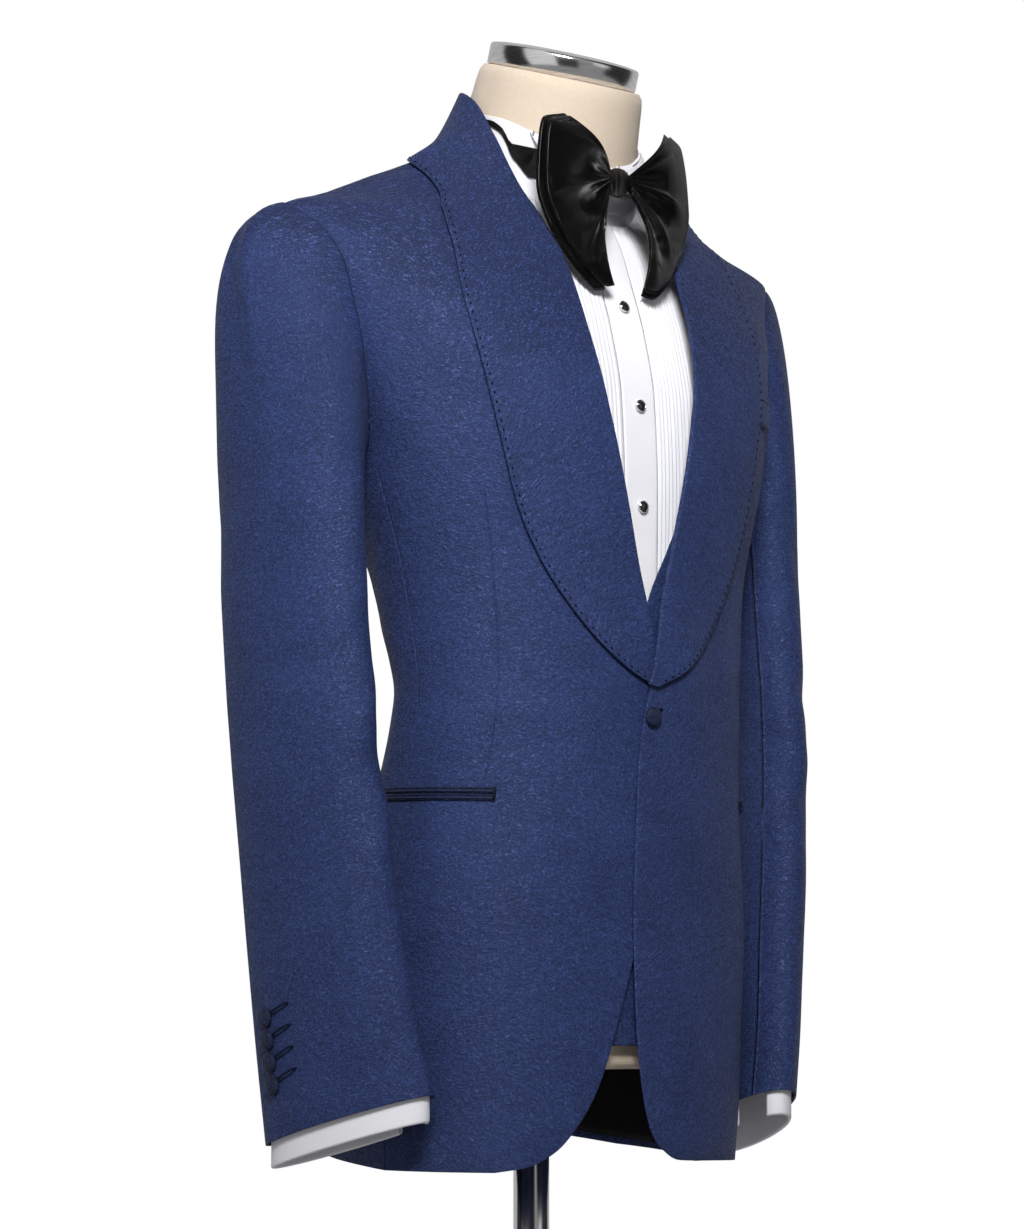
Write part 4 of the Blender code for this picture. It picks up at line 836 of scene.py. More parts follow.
FRONT_CREASES = [
    # from_angle, from_height, to_angle, to_height, width, lift
    (30, 1.090, 62, 1.118, 0.014, -0.0011), (28, 1.068, 66, 1.060, 0.012, -0.0009),
    (36, 1.100, 70, 1.150, 0.016, 0.0010), (60, 1.290, 74, 1.360, 0.012, -0.0016),
    (66, 1.250, 77, 1.310, 0.011, 0.0012), (40, 1.020, 52, 0.900, 0.022, 0.0012),
    (14, 0.990, 22, 0.860, 0.020, -0.0010), (58, 0.990, 66, 0.840, 0.024, -0.0012),
    (52, 1.340, 70, 1.395, 0.018, 0.0012), (44, 1.210, 58, 1.190, 0.016, -0.0008),
]


def creases(across, up, table, scale):
    """The lift of soft ridges and troughs, each along a line from one place to another."""
    lift = np.zeros(np.broadcast(across, up).shape)
    for from_across, from_up, to_across, to_up, width, depth in table:
        run, climb = (to_across - from_across) * scale, to_up - from_up
        length = math.hypot(run, climb)
        x, z = (across - from_across) * scale, up - from_up
        t = (x * run + z * climb) / length ** 2
        off = (x * climb - z * run) / length + 0.10 * length * (t - 0.5) ** 2
        lift += depth * np.exp(-(off / width) ** 2) * np.exp(-((t - 0.5) / 0.5) ** 4)
    return lift


def overlap_lift(side, angle, height):
    """How far the left front stands off to lie over the right one and its lapel."""
    if side < 0:
        return np.zeros(np.broadcast(angle, height).shape)
    at_break = np.exp(-((height - BREAK_HEIGHT) / BREAK_SPREAD) ** 2)
    return (1 - soft_step(9, 36, angle)) * (OVERLAP + OVERLAP_AT_BREAK * at_break)


def dart_angle(height):
    t = np.clip((height - DART_LOW[1]) / (DART_HIGH[1] - DART_LOW[1]), 0, 1)
    return between(DART_LOW[0], DART_HIGH[0], t)


def front_lift(side, angle, height):
    """The front's outer face, with its overlap, its dart's groove and its creases."""
    within = soft_step(1.036, 1.040, height) * (1 - soft_step(1.228, 1.243, height))
    groove = -0.0012 * np.exp(-((angle - dart_angle(height)) / 0.17) ** 2) * within
    return overlap_lift(side, angle, height) + groove + creases(angle, height, FRONT_CREASES, DEGREE)


ends = FRONT_CURVE.at(spaced(160, 0.75) * (len(FRONT) - 1))
under_head = soft_step(1.248, 1.260, ends[:, 5]) * (1 - soft_step(1.420, 1.436, ends[:, 5]))
seam_angle, seam_height = ends[:, 4] - SEAM_TURN + UNDER_HEAD * under_head, ends[:, 5]
before, beyond = spaced(30, 0.16)[:-1] * 0.45, 0.55 + spaced(18, 0.1)[1:] * 0.45
t = np.concatenate([before, np.linspace(0.45, 0.55, 12), beyond])
t = np.interp(t, [0, 0.45, 0.55, 1.0], [0, 0.975, 1.025, 2.0])
for side, hand in SIDES:
    edge_angle, edge_height = ends[:, 2:4].T if side > 0 else ends[:, 0:2].T
    dart = (dart_angle((edge_height + seam_height) / 2) - edge_angle) / (seam_angle - edge_angle)
    dart = np.clip(dart, 0.35, 0.93)[:, None]
    share = np.where(t < 1, dart * t, dart + (1 - dart) * (t - 1))
    angle = between(edge_angle[:, None], seam_angle[:, None], share)
    height = between(edge_height[:, None], seam_height[:, None], share)
    grid = skin(angle, height, front_lift(side, angle, height))
    cloth(f"front_{hand}", "cloth", mirrored(grid, side), JACKET_WALL, navy)

# ------------------------------------------------------------------ jacket sides and back
# A narrow side panel joins each front to the back, which has a seam down its centre; black
# lining closes the inside of the back above the hem.
SIDE = [
    # front_height, back_height
    (0.7790, 0.7880), (0.8480, 0.8550), (0.9050, 0.9080), (0.9750, 0.9750), (1.0200, 1.0200),
    (1.0650, 1.0650), (1.1000, 1.1000), (1.1220, 1.1220), (1.1500, 1.1500), (1.1850, 1.1850),
    (1.2250, 1.2250), (1.2585, 1.2585),
]
BACK = [
    # side_angle, side_height, centre_height
    (118.0, 0.7880, 0.8140), (118.0, 0.8550, 0.8700), (118.0, 0.9080, 0.9160), (118.0, 0.9750, 0.9780),
    (118.0, 1.0200, 1.0200), (118.0, 1.0650, 1.0650), (118.0, 1.1000, 1.1000), (118.0, 1.1220, 1.1220),
    (118.0, 1.1500, 1.1500), (118.0, 1.1850, 1.1850), (118.0, 1.2250, 1.2250), (118.0, 1.2590, 1.2600),
    (110.0, 1.2850, 1.2880), (107.0, 1.3300, 1.3350), (105.5, 1.3750, 1.3830), (101.0, 1.4120, 1.4220),
    (93.0, 1.4345, 1.4480), (93.0, 1.4560, 1.4660), (93.0, 1.4760, 1.4790), (93.0, 1.4900, 1.4890),
]
BACK_CREASES = [
    # from_angle, from_height, to_angle, to_height, width, lift
    (124, 1.100, 168, 1.080, 0.015, -0.0016), (122, 1.130, 160, 1.140, 0.014, 0.0013),
    (128, 1.060, 172, 1.045, 0.013, 0.0011), (118, 1.300, 140, 1.390, 0.020, -0.0016),
    (150, 1.010, 158, 0.880, 0.024, 0.0016), (128, 0.980, 134, 0.850, 0.022, -0.0014),
    (112, 1.330, 128, 1.400, 0.015, 0.0014), (160, 1.440, 178, 1.455, 0.012, -0.0009),
    (88, 1.110, 114, 1.100, 0.014, -0.0014), (86, 1.140, 112, 1.150, 0.013, 0.0010),
    (94, 0.990, 100, 0.850, 0.020, 0.0013), (90, 1.200, 110, 1.240, 0.012, -0.0010),
]
SIDE_TURN, BACK_TURN = 82.0, 118.0
SIDE_CURVE, BACK_CURVE = Curve(SIDE, keys=range(len(SIDE))), Curve(BACK, keys=range(len(BACK)))
LINING_LIFT, LINING_WALL = -0.0037, 0.0010


def creased(angle, height):
    """The cloth of the sides and back, with its creases."""
    return skin(angle, height, creases(angle, height, BACK_CREASES, DEGREE))


ends = SIDE_CURVE.at(spaced(110, 0.48) * (len(SIDE) - 1))
t = spaced(22, 0.09)
side_height = between(ends[:, :1], ends[:, 1:2], t)
side_height = side_height + 0.007 * soft_step(1.225, 1.2585, side_height)
side_angle = between(SIDE_TURN + SEAM_TURN, BACK_TURN - SEAM_TURN, t) + 0 * side_height
ends = BACK_CURVE.at(spaced(150, 0.72) * (len(BACK) - 1))
t = spaced(40, 0.17)
under_head = soft_step(1.261, 1.275, ends[:, 1:2]) * (1 - soft_step(1.420, 1.434, ends[:, 1:2]))
back_angle = between(ends[:, :1] + SEAM_TURN - UNDER_HEAD * under_head, 180 - SEAM_TURN, t)
back_height = between(ends[:, 1:2], ends[:, 2:], t)
side_grid, back_grid = creased(side_angle, side_height), creased(back_angle, back_height)
for side, hand in SIDES:
    cloth(f"side_{hand}", "cloth", mirrored(side_grid, side), JACKET_WALL, navy, roll=0.12)
    cloth(f"back_{hand}", "cloth", mirrored(back_grid, side), JACKET_WALL, navy)
up = np.linspace(0, 1, 24)[:, None]
angle = np.linspace(104, 256, 60)[None, :] + 0 * up
height = 0.812 - 0.024 * np.sin(np.radians(angle)) ** 2 + 0.12 * up
cloth("back_lining", "satin", skin(angle, height, LINING_LIFT), LINING_WALL, lining)

# ------------------------------------------------------------------ shawl collar
# One soft roll from the button round the neck, in the jacket's own cloth, joined at the centre
# of the back. Its edge is picked by hand, two and a half millimetres in.
COLLAR = [
    # roll_angle, roll_height, edge_angle, edge_height, stand, roll_lift, bridge
    (-4.5, 1.1060, -1.5, 1.1050, 0.0015, 0.0036, 0.0),
    (-1.5, 1.1260, 10.0, 1.1145, 0.0016, 0.0037, 0.0),
    (3.0, 1.1600, 22.0, 1.1310, 0.0018, 0.0045, 0.0),
    (7.5, 1.1920, 33.5, 1.1570, 0.0018, 0.0052, 0.0),
    (11.0, 1.2250, 42.5, 1.1900, 0.0018, 0.0056, 0.0),
    (14.8, 1.2620, 47.1, 1.2230, 0.0018, 0.0058, 0.0),
    (18.0, 1.2940, 49.5, 1.2620, 0.0018, 0.0058, 0.0),
    (23.5, 1.3460, 52.8, 1.3120, 0.0018, 0.0056, 0.0),
    (30.0, 1.4000, 58.5, 1.3680, 0.0020, 0.0054, 0.0),
    (38.0, 1.4330, 64.5, 1.4180, 0.0030, 0.0050, 0.1),
    (51.0, 1.4670, 72.0, 1.4500, 0.0045, 0.0036, 0.5),
    (70.0, 1.5010, 84.0, 1.4730, 0.0090, 0.0000, 1.0),
    (95.0, 1.5310, 102.0, 1.4870, 0.0220, 0.0000, 1.0),
    (130.0, 1.5440, 134.0, 1.4890, 0.0320, 0.0000, 1.0),
    (180.0, 1.5480, 180.0, 1.4900, 0.0360, 0.0000, 1.0),
]
COLLAR_CURVE = Curve(COLLAR, keys=range(len(COLLAR)))
COLLAR_OUT, COLLAR_SPREAD = 0.0054, -0.0008
LAPEL_FOLD, LAPEL_LIFT, LAPEL_WALL, LAPEL_CUSHION = 0.0018, 0.0038, 0.0015, 0.002


def neck_along(angle, height):
    along = np.zeros(np.broadcast(angle, height).shape)
    for _ in range(4):
        along = along + (height - neck_point(angle, along)[..., 2]) / NECK_AXIS[2]
    return along


def collar_face(station, t, side):
    """The points of the collar's outer face, from the roll line at t 0 to its edge at t 1."""
    (roll_angle, roll_height, edge_angle, edge_height, stand, roll_lift,
     bridge) = np.moveaxis(COLLAR_CURVE.at(station), -1, 0)
    roll_angle, edge_angle = np.minimum(roll_angle, 179.7), np.minimum(edge_angle, 179.7)
    out = body_normal(roll_angle, roll_height)
    ahead = skin(between(roll_angle, edge_angle, 0.06), between(roll_height, edge_height, 0.06))
    away = ahead - skin(roll_angle, roll_height)
    away = unit(away - out * (away * out).sum(-1, keepdims=True))
    below = overlap_lift(side, roll_angle, roll_height)
    on_chest = skin(roll_angle, roll_height, below + roll_lift - LAPEL_FOLD)
    along = neck_along(roll_angle, roll_height)
    on_neck = neck_point(roll_angle, along, COLLAR_OUT + LAPEL_FOLD)
    share = bridge[..., None]
    middle = between(on_chest, on_neck, share)
    foot = on_chest - out * LAPEL_FOLD + away * stand[..., None]
    foot = between(foot, neck_point(roll_angle, along - stand, COLLAR_OUT), share)
    edge_lift = LAPEL_LIFT + COLLAR_SPREAD * bridge
    edge = skin(edge_angle, edge_height, overlap_lift(side, edge_angle, edge_height) + edge_lift)
    top = middle + out * LAPEL_FOLD
    angle, height = between(roll_angle, edge_angle, t), between(roll_height, edge_height, t)
    lift = overlap_lift(side, angle, height) + between(roll_lift, edge_lift, t)
    straight = between(top, edge, t[..., None]) + out * (LAPEL_CUSHION * np.sin(math.pi * t))[..., None]
    flat = skin(angle, height, lift)
    return foot, middle, out, away, between(flat, straight, share)


collar_stations = spaced(190, 0.85) * (len(COLLAR) - 1)
for side, hand in SIDES:
    s, t = np.broadcast_arrays(collar_stations[:, None], spaced(22, 0.09)[None, 1:])
    foot, middle, out, away, face = collar_face(s, t, side)
    fold = [between(foot, middle - out * LAPEL_FOLD, share)[:, :1] for share in (0.0, 0.35, 0.7)]
    fold += [middle[:, :1] + (out[:, :1] * math.sin(bend) - away[:, :1] * math.cos(bend)) * LAPEL_FOLD
             for bend in np.radians(np.linspace(-90, 90, 11))]
    cloth(f"collar_{hand}", "shawl", mirrored(np.concatenate(fold + [face], 1), side), LAPEL_WALL, navy)

# ------------------------------------------------------------------ jacket sleeves
# Two-piece sleeves, an upper and an under, eased into the armhole over a soft pad so that the
# head stands slightly proud of the shoulder.
SLEEVE_CREASES = [
    # from_round, from_height, to_round, to_height, width, lift
    (-20, 1.150, 60, 1.105, 0.013, -0.0022), (-30, 1.110, 40, 1.060, 0.012, 0.0018),
    (-28, 1.060, 35, 1.035, 0.012, -0.0024), (-36, 1.030, 20, 0.985, 0.013, 0.0018),
    (100, 1.090, 148, 1.120, 0.014, -0.0018), (60, 1.240, 120, 1.200, 0.018, 0.0014),
    (5, 1.270, 30, 1.200, 0.013, -0.0016), (140, 1.250, 168, 1.180, 0.014, -0.0018),
    (30, 1.000, 70, 0.900, 0.020, 0.0012), (90, 1.000, 110, 0.880, 0.022, -0.0012),
    (200, 1.120, 290, 1.080, 0.014, -0.0018), (210, 1.200, 280, 1.230, 0.014, 0.0012),
    (190, 1.020, 260, 0.980, 0.016, 0.0012), (-10, 0.960, 30, 0.930, 0.014, -0.0012),
]
FRONT_SLEEVE_SEAM, BACK_SLEEVE_SEAM, SLEEVE_GAP = -42.0, 152.0, 0.03
SLEEVE_DEGREE = 0.00085
SLEEVE_PARTS = [
    # part, first, last, columns
    ("upper", FRONT_SLEEVE_SEAM, BACK_SLEEVE_SEAM, 64),
    ("under", BACK_SLEEVE_SEAM, 360 + FRONT_SLEEVE_SEAM, 48),
]


def sleeve_cloth(rounds):
    """Rows of a jacket sleeve with its creases, from its hem up to the armhole."""
    grid = sleeve_grid(rounds, 0.0, SLEEVE_HEM, 96, [*np.linspace(0.96, 0.03, 30), 0.016, 0.006, 0.0])
    near_hem = [between(grid[:1], grid[1:2], share) for share in (0.15, 0.5)]
    grid = np.concatenate([grid[:1], *near_hem, grid[1:]])
    lift = creases(rounds[None, :], grid[..., 2], SLEEVE_CREASES, SLEEVE_DEGREE)
    return grid + grid_normals(grid) * lift[..., None]


for side, hand in SIDES:
    for part, first, last, columns in SLEEVE_PARTS:
        rounds = between(first + SLEEVE_GAP, last - SLEEVE_GAP, spaced(columns, 0.13))
        cloth(f"sleeve_{part}_{hand}", "cloth", mirrored(sleeve_cloth(rounds), side), JACKET_WALL, navy,
              roll=0.05)

# ------------------------------------------------------------------ pockets and breast welt
# Two narrow jets of the same cloth edge each hip pocket's cut; the breast pocket has one broad
# welt. Their ends are closed by small bar tacks.
ON_CLOTH, STRIP_WALL = 0.0016, 0.0010
POCKET_HEIGHT, POCKET_JET, POCKET_ANGLES, POCKET_CLIMB = 1.030, 0.0044, (54.3, 108.0), 0.004
WELT_ANGLES, WELT_HEIGHTS = (31.0, 62.5), (1.306, 1.328)
TACK_HALF, TACK_STEP, TACK_RADIUS, TACK_OUT = 0.0046, 0.16, 0.0004, ON_CLOTH + 0.0006
# The jets are the jacket's own cloth painted darker: painted shade.
shaded_navy_jets = jacquard("navy_jacquard_jets", 0.62)
silk = Finish("navy_silk", "navy_jacquard", Roughness=0.6, Specular_IOR_Level=0.12)
silk.mottle(900, 2, (0.0015, 0.002, 0.005), (0.005, 0.007, 0.016))


def stitches(name, starts, ends, outs, radius, finish):
    """Short lengths of thread, each a rounded bead between two points on the cloth."""
    points, faces = [], []
    ring = np.radians(np.arange(6) * 60.0)
    for start, end, out in zip(starts, ends, outs):
        along = unit(end - start)
        out = unit(out - along * (out @ along))
        beside = np.cross(along, out)
        faces += tube(5, len(ring), len(points), inward=True)
        for share, size in ((0.0, 0.35), (0.2, 0.9), (0.5, 1.0), (0.8, 0.9), (1.0, 0.35)):
            centre = between(start, end, share)
            points += [centre + (out * math.cos(turn) * 0.8 + beside * math.sin(turn)) * radius * size
                       for turn in ring]
    add_mesh(name, points, faces, [finish])


for side, hand in SIDES:
    for part, low in (("lower", -POCKET_JET - SEAM / 2), ("upper", SEAM / 2)):
        t, up = spaced(60, 0.14)[None, :], spaced(5, POCKET_JET, 0.0004)[:, None]
        angle = between(*POCKET_ANGLES, t) + 0 * up
        height = POCKET_HEIGHT + low + POCKET_JET * up + POCKET_CLIMB * t
        cushion = 0.0004 * np.sin(math.pi * up) + 0 * t
        cloth(f"pocket_jet_{part}_{hand}", "strip", mirrored(skin(angle, height, ON_CLOTH + cushion), side),
              STRIP_WALL, shaded_navy_jets)
    starts, ends, outs = [], [], []
    for end_angle, climb in zip(POCKET_ANGLES, (0.0, POCKET_CLIMB)):
        for step in range(-2, 3):
            for reach, into in ((-TACK_HALF, starts), (TACK_HALF, ends)):
                into.append(skin(end_angle + TACK_STEP * step, POCKET_HEIGHT + climb + reach, TACK_OUT))
            outs.append(body_normal(end_angle, POCKET_HEIGHT))
    starts, ends, outs = (np.array(places) * (side, 1.0, 1.0) for places in (starts, ends, outs))
    stitches(f"pocket_tacks_{hand}", starts, ends, outs, TACK_RADIUS, silk)
t, up = spaced(40, 0.09)[None, :], spaced(12, 0.022)[:, None]
angle, height = between(*WELT_ANGLES, t) + 0 * up, between(*WELT_HEIGHTS, up) + 0 * t
grid = skin(angle, height, overlap_lift(1, angle, height) + ON_CLOTH)
cloth("breast_welt", "strip", grid, STRIP_WALL, navy)

# ------------------------------------------------------------------ buttons, buttonholes and hand stitches
# Cloth-covered buttons, one at the waist and four on each cuff, with buttonholes worked in
# dark silk, and picked stitches along the edges of the lapels.
BUTTON_PROFILE = [
    # radius as a share of the button's, distance out in metres
    (0.70, 0.0), (0.95, 0.0006), (1.0, 0.0016), (0.97, 0.0024), (0.86, 0.0033),
    (0.65, 0.0040), (0.35, 0.0044), (0.04, 0.0045),
]
BUTTON_RADIUS = 0.0068
BUTTON_ANGLE, BUTTON_HEIGHT = -2.4, 1.085
HOLE_HALF, HOLE_RADIUS = 0.0062, 0.0008
CUFF_BUTTONS, CUFF_BUTTON_ROUND, CUFF_BUTTON_FIRST, CUFF_BUTTON_PITCH = 4, 128.0, 0.033, 0.0140
CUFF_HOLE_PLACE, CUFF_HOLE_HALF, CUFF_HOLE_WIDE, CUFF_HOLE_RADIUS = 0.0105, 0.0078, 0.0013, 0.00085
CUFF_DEGREE = 0.00078
PICK_INSET, PICK_PITCH, PICK_LENGTH, PICK_RADIUS = 0.0026, 0.0065, 0.0022, 0.00060
pick_silk = Finish("pick_silk", "navy_jacquard", Roughness=0.8, Specular_IOR_Level=0.04)
pick_silk.mottle(900, 2, (0.002, 0.003, 0.009), (0.005, 0.008, 0.024))
covered = jacquard("navy_jacquard_buttons", 0.36, small=True)


def covered_button(node, centre, outward):
    profile = [(BUTTON_RADIUS * radius, along) for radius, along in BUTTON_PROFILE]
    turned(f"{node}_covered", node, centre, outward, profile, [covered], 40)


def on_sleeve(height, round_angle, out, side):
    """A point off the sleeve, with the creases under it, and the way it faces."""
    near = np.array([-1.0, 0.0, 1.0])
    grid = sleeve_ring(height + 0.002 * near[:, None], round_angle + 2.0 * near)
    point, normal = grid[1, 1], grid_normals(grid)[1, 1]
    lift = creases(np.array(round_angle), point[2], SLEEVE_CREASES, SLEEVE_DEGREE)
    flip = np.array((side, 1.0, 1.0))
    return (point + normal * (out + lift)) * flip, normal * flip


lift = overlap_lift(1, BUTTON_ANGLE, BUTTON_HEIGHT) + 0.0004
covered_button("front_button", skin(BUTTON_ANGLE, BUTTON_HEIGHT, lift),
               body_normal(BUTTON_ANGLE, BUTTON_HEIGHT))
starts, ends, outs = [], [], []
for bead in np.radians(np.arange(0, 360, 12)):
    away, beside = HOLE_HALF * (1 + math.cos(bead)), math.sin(bead)
    for reach, into in ((0.0007, starts), (0.0020, ends)):
        angle, height = BUTTON_ANGLE + away / DEGREE, BUTTON_HEIGHT + away * 0.45 + beside * reach
        into.append(skin(angle, height, overlap_lift(1, angle, height) + 0.0003))
    outs.append(body_normal(angle, height))
stitches("front_buttonhole", starts, ends, outs, HOLE_RADIUS, silk)
for side, hand in SIDES:
    starts, ends, outs = [], [], []
    for index in range(CUFF_BUTTONS):
        height = SLEEVE_HEM + CUFF_BUTTON_FIRST + CUFF_BUTTON_PITCH * index
        covered_button(f"cuff_button_{hand}_{index + 1}", *on_sleeve(height, CUFF_BUTTON_ROUND, 0.0, side))
        for bead in 2 * math.pi * np.arange(26) / 26:
            away, beside = CUFF_HOLE_PLACE + CUFF_HOLE_HALF * math.cos(bead), CUFF_HOLE_WIDE * math.sin(bead)
            turn = CUFF_BUTTON_ROUND - away / CUFF_DEGREE
            for reach, into in ((0.6, starts), (1.5, ends)):
                at, out = on_sleeve(height + away * 0.30 + beside * reach + 0.0006, turn, 0.0007, side)
                into.append(at)
            outs.append(out)
    stitches(f"cuff_buttonholes_{hand}", starts, ends, outs, CUFF_HOLE_RADIUS, silk)


def along_line(line, run, at):
    """The points of a line at these distances along it."""
    return np.stack([np.interp(at, run, line[:, k]) for k in range(3)], -1)


def lapel_line(t, side):
    """A line along the lapel's face, from its foot to the back of the neck."""
    return collar_face(station, t, side)[4]


station = np.linspace(0.2, 14.0, 1600)
roll_line, edge_line = np.zeros_like(station), np.ones_like(station)
for side, hand in SIDES:
    width = np.linalg.norm(lapel_line(roll_line, side) - lapel_line(edge_line, side), axis=-1)
    inset = np.clip(1 - PICK_INSET / width, 0.4, 1.0)
    line, inner = (lapel_line(t, side) * (side, 1.0, 1.0) for t in (inset, inset - 0.05))
    run = arcs(line, 0)
    marks = np.arange(0.004, run[-1], PICK_PITCH)
    starts, ends = along_line(line, run, marks), along_line(line, run, marks + PICK_LENGTH)
    ahead = along_line(line, run, marks + 0.001) - along_line(line, run, marks - 0.001)
    outs = unit(np.cross(ahead, along_line(inner, run, marks) - starts))
    from_axis = (starts - np.array((0.0, -0.02, 0.0))) * (1.0, 1.0, 0.0)
    outs *= np.sign((outs * from_axis).sum(1, keepdims=True))
    proud = outs * 0.00005
    stitches(f"lapel_pick_{hand}", starts + proud, ends + proud, outs, PICK_RADIUS, pick_silk)

# ------------------------------------------------------------------ bow tie
# A large butterfly bow in black satin: each side is a folded loop of two leaves gathered under
# the knot, on a narrow satin band.
BAND_OUT, SATIN_WALL = 0.0021, 0.0012
BAND_LOW, BAND_HIGH, BAND_LEAST = 0.010, 0.031, 0.004
KNOT, KNOT_SIZE = np.array((0.0, -0.0985, 1.467)), np.array((0.0088, 0.0085, 0.0105))
LEFT_LEAF_WIDER, LEAF_PUFF, LEAF_RIPPLE, LEAF_WAIST = 0.007, 0.008, 0.0030, {"right": 0.016, "left": 0.004}
LEAF_END = [
    # out, up, back
    (0.043, 0.042, 0.004), (0.058, 0.037, 0.008), (0.0635, 0.012, 0.006), (0.065, -0.012, 0.004),
    (0.058, -0.037, 0.000), (0.047, -0.056, -0.004), (0.036, -0.070, -0.008),
    (0.022, -0.080, -0.010), (0.013, -0.078, -0.009),
]
LEAVES = [
    # back, grow, turn
    (0.0000, 1.00, 0.0),
    (0.0066, 1.04, 2.0),
]
LEAF_FOLDS = [
    # place, width, height, reach
    (0.14, 0.040, 0.0050, 0.70), (0.27, 0.035, -0.0034, 0.50), (0.40, 0.034, 0.0056, 0.92),
    (0.53, 0.036, -0.0038, 0.66), (0.66, 0.038, 0.0048, 1.00), (0.80, 0.046, -0.0028, 0.86),
]
KNOT_ROWS, KNOT_COLUMNS, KNOT_PLEATS = 33, 64, 9


def black_satin():
    """Heavy silk satin: nearly black, with a broad soft shine and fine ribs."""
    finish = Finish("black_satin", Specular_IOR_Level=0.34)
    along = finish.parts(finish.on_cloth())[1]
    finish.mottle(35, 3, (0.0022, 0.0020, 0.0020), (0.0045, 0.0040, 0.0039))
    finish.set("Roughness", finish.noise(60, 3) * 0.10 + 0.24)
    finish.bump(along.wave(0.0008) * 0.12 + finish.noise(52, 1.5) * 2.6, 0.0026, 0.9)
    return finish


satin = black_satin()
angles = np.linspace(14.7, 345.3, 120)
foot = np.maximum(BAND_LOW, neck_seam(angles) + BAND_FOOT)
along = foot + np.maximum(BAND_HIGH - foot, BAND_LEAST) * spaced(8, 0.02)[:, None]
cloth("tie_band", "satin", neck_point(angles, along, BAND_OUT + SHIRT_WALL), SHIRT_WALL, satin)
t, s = spaced(64, 0.2)[::-1, None], spaced(44, 0.06)[None, :]
out, up, behind = np.moveaxis(Curve(LEAF_END, keys=np.linspace(0, 1, len(LEAF_END))).at(t), -1, 0)
ripple = LEAF_RIPPLE * np.sin(math.pi * (2.5 * t + 0.2)) * np.sin(math.pi * s)
for place, width, high, reach in LEAF_FOLDS:
    fold = np.exp(-((t - place) / (width * (0.6 + s))) ** 2)
    ripple = ripple + high * fold * np.sin(math.pi * np.minimum(s / reach, 1.0))
puff = LEAF_PUFF * np.sin(math.pi * s)
start = np.stack([KNOT_SIZE[0] + 0.0001 + 0 * t, 0 * t, 0.006 - 0.012 * t], -1)
for side, hand in SIDES:
    for index, (back, grow, turn) in enumerate(LEAVES):
        swing = math.radians(turn)
        end = np.stack([out * math.cos(swing) - up * math.sin(swing), 0 * out,
                        out * math.sin(swing) + up * math.cos(swing)], -1) * grow
        if side > 0:
            end[..., 0] += LEFT_LEAF_WIDER * (1 - t) ** 2
        point = between(start, end, s[..., None])
        point[..., 0] += LEAF_WAIST[hand] * soft_step(0.55, 1.0, t) * 4 * s * (1 - s)
        depth = behind * s - puff - ripple + back * (0.40 + 0.60 * s)
        grid = KNOT + np.stack([point[..., 0], depth - 0.004, point[..., 2]], -1)
        cloth(f"bow_leaf_{hand}_{index + 1}", "satin", mirrored(grid, side), SATIN_WALL, satin)
longitude = np.radians(np.linspace(0, 360, KNOT_COLUMNS + 1)[None, :-1])
latitude = np.radians(np.linspace(-88, 88, KNOT_ROWS))[:, None]
pinch = 1 + 0.05 * np.cos(KNOT_PLEATS * longitude) * np.cos(latitude)
knot = np.stack([np.sin(longitude) * np.cos(latitude) * pinch, -np.cos(longitude) * np.cos(latitude) * pinch,
                 np.sin(latitude) + 0 * longitude], -1)
knot[..., 0] = np.sign(knot[..., 0]) * np.abs(knot[..., 0]) ** 0.8
thread = np.stack([longitude * 0.009 + 0 * latitude, latitude * 0.010 + 0 * longitude, 0 * pinch], -1)
add_mesh("tie_knot_satin", KNOT + knot * KNOT_SIZE, tube(KNOT_ROWS, KNOT_COLUMNS), [satin], "tie_knot",
         thread)

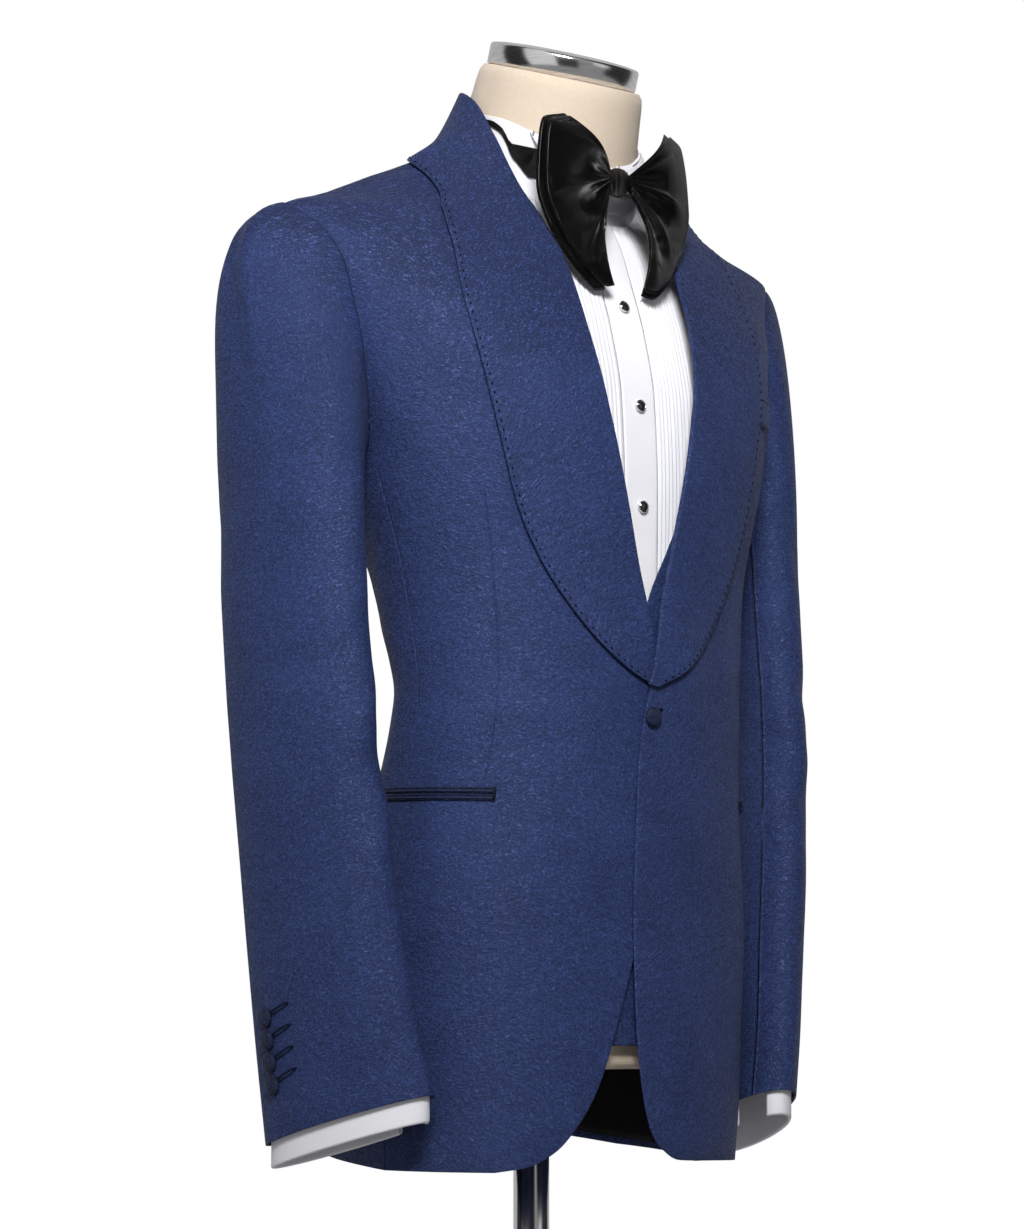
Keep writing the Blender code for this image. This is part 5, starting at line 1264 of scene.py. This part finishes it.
# ------------------------------------------------------------------ studio
# A pale floor and white surroundings, with one broad light high to the wearer's right, a
# weaker one on the other side, and dark boards that give the metal its bands.
FLOOR_RADIUS = 3.0
LIGHTS = [
    # name, place, aim, size, power, spread
    ("key", (-1.40, -1.98, 2.62), (0.0, 0.0, 1.42), 0.8, 11.5, 58),
    ("fill", (1.2, -3.0, 1.9), (0.0, 0.0, 1.3), 1.6, 1.2, 110),
]
ROOM_STRENGTH = 0.70
ROOM = [
    # from_the_lens, brightness (degrees to the right of the camera, seen from the form)
    (-180, 0.75), (-108, 0.75), (-102, 0.04), (-64, 0.04), (-58, 1.05), (-14, 1.05), (-10, 0.04),
    (20, 0.04), (25, 0.40), (66, 0.40), (71, 0.04), (125, 0.04), (131, 0.75), (180, 0.75),
]
floor = bpy.data.objects.new("floor", bpy.data.meshes.new("floor"))
floor.data.from_pydata([(FLOOR_RADIUS * math.cos(a), FLOOR_RADIUS * math.sin(a), 0)
                        for a in np.linspace(0, 2 * math.pi, 65)[:-1]], [], [list(range(64))])
floor_paint = Finish("floor_paint", Roughness=0.9)
floor_paint.mottle(3, 2, (0.80, 0.80, 0.80), (0.84, 0.84, 0.84))
floor.data.materials.append(floor_paint.material)
bpy.context.scene.collection.objects.link(floor)
for name, place, towards, size, power, spread in LIGHTS:
    lamp = bpy.data.objects.new(name, bpy.data.lights.new(name, "AREA"))
    lamp.data.size, lamp.data.energy, lamp.data.spread = size, power, math.radians(spread)
    lamp.location = place
    lamp.rotation_euler = (Vector(towards) - Vector(place)).to_track_quat("-Z", "Y").to_euler()
    bpy.context.scene.collection.objects.link(lamp)
world = bpy.data.worlds.new("studio")
bpy.context.scene.world = world
world.use_nodes = True
room = Nodes(world.node_tree)
x, y, _ = room.parts(room.node("VectorRotate", {"rotation_type": "Z_AXIS"},
                               {"Vector": room.node("TexCoord"), "Angle": math.pi / 2 - LENS_ANGLE}))
around = room.node("MapRange", None, {"Value": y.sum("ARCTAN2", y, x), "From Min": -math.pi,
                                      "From Max": math.pi})
bands = room.node("ValToRGB", {"stops": [(turn / 360 + 0.5, bright) for turn, bright in ROOM]}, (around,))
boards = room.node("Background", None, {"Color": bands, "Strength": ROOM_STRENGTH})
white = room.nodes["Background"]
room.put(white.inputs["Color"], (1, 1, 1))
seen = room.node("MixShader", None, (room.node("LightPath"), boards, Value(room, white.outputs[0])))
room.put(room.nodes["World Output"].inputs["Surface"], seen)
bpy.context.scene.view_settings.view_transform = "Standard"
